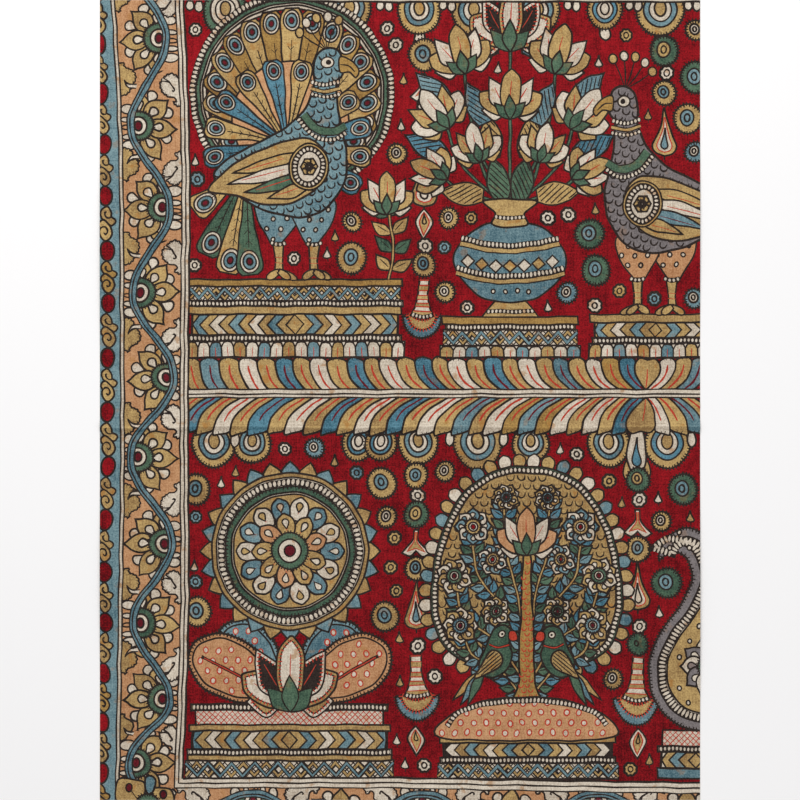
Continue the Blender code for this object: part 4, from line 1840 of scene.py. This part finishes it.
def lay_uv(mesh, face_count, back_count):
    """One map: the face takes the left three quarters, the underside and the edge the strip beside it."""
    layer = mesh.uv_layers.new(name="OFBake")
    for polygon in mesh.polygons:
        face = polygon.index < face_count
        for loop in polygon.loop_indices:
            x, y, _ = mesh.vertices[mesh.loops[loop].vertex_index].co
            u, v = x / PANEL_WIDTH + 0.5, y / PANEL_LENGTH + 0.5
            if face:
                layer.data[loop].uv = (0.002 + u * (FACE_SHARE - 0.004), 0.002 + v * 0.996)
            elif polygon.index < face_count + back_count:
                layer.data[loop].uv = (FACE_SHARE + 0.004 + u * 0.20, 0.1 + v * 0.27)
            else:
                layer.data[loop].uv = (FACE_SHARE + 0.02 + u * 0.20, 0.5 + v * 0.27)


def bend_normals(mesh, face_count, back_count):
    """Shades the face and the underside by the cloth's own curve, and the cut edge as it lies."""
    up = {}
    normals = []
    for polygon in mesh.polygons:
        flat = polygon.normal.copy()
        for loop in polygon.loop_indices:
            vertex = mesh.loops[loop].vertex_index
            if polygon.index >= face_count + back_count:
                normals.append(flat)
                continue
            if vertex not in up:
                x, y, _ = mesh.vertices[vertex].co
                up[vertex] = surface_normal(x, y)
            normals.append(up[vertex] if polygon.index < face_count else -up[vertex])
    mesh.normals_split_custom_set(normals)


def linear(hex_colour):
    """The linear colour of an sRGB hex value."""
    channels = [int(hex_colour[i:i + 2], 16) / 255 for i in (1, 3, 5)]
    return tuple(c / 12.92 if c <= 0.04045 else ((c + 0.055) / 1.055) ** 2.4 for c in channels) + (1.0,)


def add_node(tree, kind, settings=None, inputs=None):
    """Adds a node with its settings. An input is a value or another node's output socket."""
    node = tree.nodes.new(kind)
    for name, value in (settings or {}).items():
        setattr(node, name, value)
    for name, value in (inputs or {}).items():
        socket = node.inputs[name]
        if isinstance(value, bpy.types.NodeSocket):
            tree.links.new(value, socket)
        else:
            socket.default_value = value
    return node


def maths(tree, operation, *values):
    """Does a sum on these inputs, and gives its output socket."""
    return add_node(tree, "ShaderNodeMath", {"operation": operation}, dict(enumerate(values))).outputs[0]


def mixed(tree, share, one, other):
    """Mixes two colours, and gives the output socket."""
    return add_node(tree, "ShaderNodeMix", {"data_type": "RGBA"}, {0: share, 6: one, 7: other}).outputs[2]


# Each dye: name, deep tone, pale tone, unevenness, how much darker towards the foot, how much stains show.
DYES = (
    ("madder_red_on_cotton", "#4E0309", "#A2151E", 1.1, 0.16, 0.0),
    ("pomegranate_ochre_on_cotton", "#866842", "#C8A96E", 1.0, 0.14, 0.7),
    ("strong_ochre_on_cotton", "#775730", "#B38F50", 1.0, 0.1, 0.5),
    ("indigo_blue_on_cotton", "#3F5E69", "#809B9F", 1.1, 0.08, 0.3),
    ("deep_indigo_on_cotton", "#2B5362", "#618D9D", 1.1, 0.08, 0.2),
    ("undyed_cotton", "#A89986", "#E4D8C5", 0.8, 0.04, 0.6),
    ("iron_black_pen_line_on_cotton", "#17110F", "#3A302B", 0.6, 0.0, 0.0),
    ("pale_madder_peach_on_cotton", "#A06E49", "#D1A277", 0.9, 0.08, 0.4),
    ("indigo_over_yellow_green_on_cotton", "#2E4438", "#5C765E", 1.1, 0.08, 0.2),
    ("weak_iron_grey_on_cotton", "#5E5858", "#8A8281", 0.8, 0.05, 0.2),
    ("strong_madder_on_cotton", "#450C14", "#76202A", 0.8, 0.1, 0.0),
    ("alum_madder_scarlet_line_on_cotton", "#9C2A1E", "#C24A36", 0.6, 0.05, 0.0),
)
STAIN = "#A67338"
# The tone that the bare underside is mixed with.
REVERSE = "#CDBFAD"
# The threads are about 0.45 mm apart, finer than a pixel, so the weave is drawn coarser. In millimetres.
WEAVE = 1.5
# Painted shade and painted highlight along a crease, as light from the head of the cloth falls on its ridge:
# a darker line below it and a paler line above it. In millimetres: how far above it, half width, how much
# paler.
CREASE_SHADE_AND_HIGHLIGHT = ((-2.4, 3.0, -0.2), (0.5, 1.1, 0.2))


def crease_light_line(tree, where, crease, above, half, strength, tone):
    """A line of painted light beside a crease, paler or darker by its strength: how far above it, and half
    its width.
    """
    parts = add_node(tree, "ShaderNodeSeparateXYZ", None, {"Vector": where})
    swing = maths(tree, "MULTIPLY", parts.outputs["X"], math.tau / WAVER_LENGTH)
    wave = maths(tree, "SINE", swing)
    middle = maths(tree, "MULTIPLY_ADD", wave, crease[6], crease[1] + above)
    away = maths(tree, "SUBTRACT", parts.outputs["Y"], middle)
    reach = maths(tree, "ABSOLUTE", away)
    near = add_node(
        tree, "ShaderNodeMapRange", {"interpolation_type": "SMOOTHSTEP"},
        {"Value": reach, "From Min": half, "From Max": 0.0, "To Min": 0.0, "To Max": strength},
    )
    start = add_node(
        tree, "ShaderNodeMapRange", None,
        {"Value": parts.outputs["X"], "From Min": crease[2], "From Max": crease[2] + CREASE_FADE},
    )
    return maths(tree, "MULTIPLY_ADD", near.outputs["Result"], start.outputs["Result"], tone)


def dye_material(name, deep, pale, unevenness, foot_darkening, stains):
    """Plain-weave cotton that took a plant dye by brush: matt, fuzzy, and cloudy where the dye pooled."""
    material = bpy.data.materials.new(name)
    material.use_nodes = True
    tree = material.node_tree
    tree.nodes.clear()
    where = add_node(tree, "ShaderNodeTexCoord").outputs["Object"]

    def noise(size_mm, detail, stretch=(1.0, 1.0)):
        spread = add_node(tree, "ShaderNodeMapping", None,
            {"Vector": where, "Scale": (1 / stretch[0], 1 / stretch[1], 1)})
        settings = {"noise_dimensions": "2D"}
        inputs = {"Vector": spread.outputs["Vector"], "Scale": 1 / (size_mm * MM), "Detail": detail,
            "Roughness": 0.55}
        return add_node(tree, "ShaderNodeTexNoise", settings, inputs).outputs["Fac"]

    def blend(*terms):
        """Adds up signals about their middle: socket, weight."""
        total = None
        for socket, weight in terms:
            if total is not None:
                socket = maths(tree, "SUBTRACT", socket, 0.5)
            total = maths(tree, "MULTIPLY_ADD", socket, weight, -0.5 * weight if total is None else total)
        return total

    dip = add_node(tree, "ShaderNodeAttribute", {"attribute_name": "dip"}).outputs["Fac"]
    pools = noise(42, 2)
    brush = noise(7.5, 3)
    slub_up = noise(WEAVE, 2, (1.0, 17.0))
    slub_across = noise(WEAVE, 2, (19.0, 1.0))
    grain = noise(1.45, 1)
    clouds = blend(
        (pools, 0.6 * unevenness), (brush, 0.75 * unevenness), (slub_up, 0.6), (slub_across, 0.42),
        (grain, 1.3),
    )
    tone = maths(tree, "MULTIPLY_ADD", dip, 0.18 * unevenness, clouds)
    # The colour grows darker towards the foot of the cloth and a little paler towards its head.
    height = add_node(tree, "ShaderNodeSeparateXYZ", None, {"Vector": where}).outputs["Y"]
    fall = maths(tree, "MULTIPLY_ADD", height, foot_darkening / PANEL_LENGTH, -0.3 * foot_darkening)
    tone = maths(tree, "ADD", tone, fall)
    # Painted shade just below each crease and a painted highlight just above its ridge.
    for crease in CREASES:
        for offset_mm, half_mm, strength in CREASE_SHADE_AND_HIGHLIGHT:
            tone = crease_light_line(tree, where, crease, offset_mm * MM, half_mm * MM,
                strength * crease[4] / CREASES[0][4], tone)
    share = add_node(tree, "ShaderNodeMath", {"operation": "ADD", "use_clamp": True},
        {0: tone, 1: 0.5})
    colour = mixed(tree, share.outputs[0], linear(deep), linear(pale))
    if stains:
        spot = add_node(
            tree, "ShaderNodeMapRange", {"interpolation_type": "SMOOTHSTEP"},
            {"Value": noise(13, 3), "From Min": 0.6, "From Max": 0.74, "To Min": 0.0, "To Max": stains},
        )
        colour = mixed(tree, spot.outputs["Result"], colour, linear(STAIN))
    back = add_node(tree, "ShaderNodeAttribute", {"attribute_name": "reverse"}).outputs["Fac"]
    fade = maths(tree, "MULTIPLY", back, 0.5)
    paler = mixed(tree, fade, colour, linear(REVERSE))
    relief = blend((slub_up, 1.0), (slub_across, 0.9), (grain, 0.8))
    bump = add_node(tree, "ShaderNodeBump", None, {"Height": relief, "Strength": 0.5, "Distance": 0.00045})
    rough = add_node(tree, "ShaderNodeMapRange", None, {"Value": grain, "To Min": 0.84, "To Max": 0.98})
    shader = add_node(tree, "ShaderNodeBsdfPrincipled", None, {
        "Base Color": paler, "Roughness": rough.outputs[0], "Normal": bump.outputs[0],
        "IOR": 1.45, "Specular IOR Level": 0.14, "Sheen Weight": 0.03, "Sheen Roughness": 0.6,
    })
    output = add_node(tree, "ShaderNodeOutputMaterial")
    tree.links.new(shader.outputs[0], output.inputs["Surface"])
    return material


FLOOR_SIZE = 12.0
FLOOR_GAP = 0.0002
# name, place, size, watts
LIGHTS = (("key", (-0.5, 1.9, 1.5), 1.1, 34.0), ("fill", (1.6, -1.2, 2.4), 2.2, 14.0))


class KalamkariClothSettings(bpy.types.PropertyGroup):
    """Sizes of the cloth."""

    thickness: bpy.props.FloatProperty(
        name="Thickness", description="Thickness of the cotton", default=0.0005, min=0.0002, max=0.001,
        unit="LENGTH", precision=4,
    )
    seed: bpy.props.IntProperty(
        name="Hand", description="Another number draws with another unevenness of hand", default=SEED,
        min=0,
    )


class KalamkariStageSettings(bpy.types.PropertyGroup):
    """Camera, light and floor."""

    camera_height: bpy.props.FloatProperty(
        name="Camera height", description="Height of the camera over the cloth", default=2.0, unit="LENGTH",
    )
    lens: bpy.props.FloatProperty(
        name="Lens", description="Focal length of the camera", default=100.0, unit="CAMERA",
    )
    floor_colour: bpy.props.FloatVectorProperty(
        name="Floor", description="Colour of the studio floor", default=linear("#FCFBFA")[:3],
        subtype="COLOR", size=3, min=0.0, max=1.0,
    )


class KALAMKARI_OT_cloth(bpy.types.Operator):
    """Draw, dye and lay out the cloth"""

    bl_idname = "kalamkari.cloth"
    bl_label = "Cloth"

    def execute(self, context):
        settings = context.scene.kalamkari_cloth
        mesh = cloth_mesh(paint(Painting(settings.seed)), settings.thickness)
        for dye in DYES:
            mesh.materials.append(dye_material(*dye))
        cloth = bpy.data.objects.new("painted_cloth", mesh)
        context.scene.collection.objects.link(cloth)
        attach(cloth, "root")
        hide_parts(CLOTH_NODE)
        return {"FINISHED"}


class KALAMKARI_OT_stage(bpy.types.Operator):
    """Set up the floor, the light and the camera"""

    bl_idname = "kalamkari.stage"
    bl_label = "Stage"

    def execute(self, context):
        settings = context.scene.kalamkari_stage
        bpy.ops.object.select_all(action="DESELECT")
        bpy.ops.mesh.primitive_plane_add(size=FLOOR_SIZE, location=(0, 0, -FLOOR_GAP))
        floor = context.active_object
        floor.name = "studio_floor"
        paper = bpy.data.materials.new("matt_white_paper_floor")
        paper.use_nodes = True
        shader = paper.node_tree.nodes["Principled BSDF"]
        shader.inputs["Base Color"].default_value = (*settings.floor_colour, 1.0)
        shader.inputs["Roughness"].default_value = 0.9
        floor.data.materials.append(paper)
        world = bpy.data.worlds.new("soft_studio")
        world.use_nodes = True
        background = world.node_tree.nodes["Background"]
        background.inputs["Color"].default_value = linear("#F6F6F8")
        background.inputs["Strength"].default_value = 0.62
        context.scene.world = world
        for name, spot, size, watts in LIGHTS:
            lamp = bpy.data.lights.new(name + "_light", "AREA")
            lamp.shape = "SQUARE"
            lamp.size = size
            lamp.energy = watts
            holder = bpy.data.objects.new(name + "_light", lamp)
            holder.location = spot
            holder.rotation_euler = (-Vector(spot)).to_track_quat("-Z", "Y").to_euler()
            context.scene.collection.objects.link(holder)
        camera = bpy.data.cameras.new("camera")
        camera.lens = settings.lens
        camera.sensor_width = 36.0
        viewer = bpy.data.objects.new("camera", camera)
        viewer.location = (0, 0, settings.camera_height)
        context.scene.collection.objects.link(viewer)
        context.scene.camera = viewer
        context.scene.view_settings.view_transform = "Standard"
        return {"FINISHED"}


class KALAMKARI_PT_panel(bpy.types.Panel):
    """The steps of the kalamkari panel"""

    bl_label = "Kalamkari"
    bl_space_type = "VIEW_3D"
    bl_region_type = "UI"
    bl_category = "Kalamkari"

    def draw(self, context):
        layout = self.layout
        cloth, stage = context.scene.kalamkari_cloth, context.scene.kalamkari_stage
        for name in ("thickness", "seed"):
            layout.prop(cloth, name)
        layout.operator("kalamkari.cloth")
        for name in ("camera_height", "lens", "floor_colour"):
            layout.prop(stage, name)
        layout.operator("kalamkari.stage")


CLASSES = (
    KalamkariClothSettings, KalamkariStageSettings, KALAMKARI_OT_cloth, KALAMKARI_OT_stage,
    KALAMKARI_PT_panel,
)


def register():
    for each in CLASSES:
        bpy.utils.register_class(each)
    bpy.types.Scene.kalamkari_cloth = bpy.props.PointerProperty(type=KalamkariClothSettings)
    bpy.types.Scene.kalamkari_stage = bpy.props.PointerProperty(type=KalamkariStageSettings)


def unregister():
    del bpy.types.Scene.kalamkari_cloth
    del bpy.types.Scene.kalamkari_stage
    for each in reversed(CLASSES):
        bpy.utils.unregister_class(each)


def main():
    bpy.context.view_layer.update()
    register()
    bpy.ops.kalamkari.stage()
    bpy.ops.kalamkari.cloth()


if __name__ == "__main__":
    main()
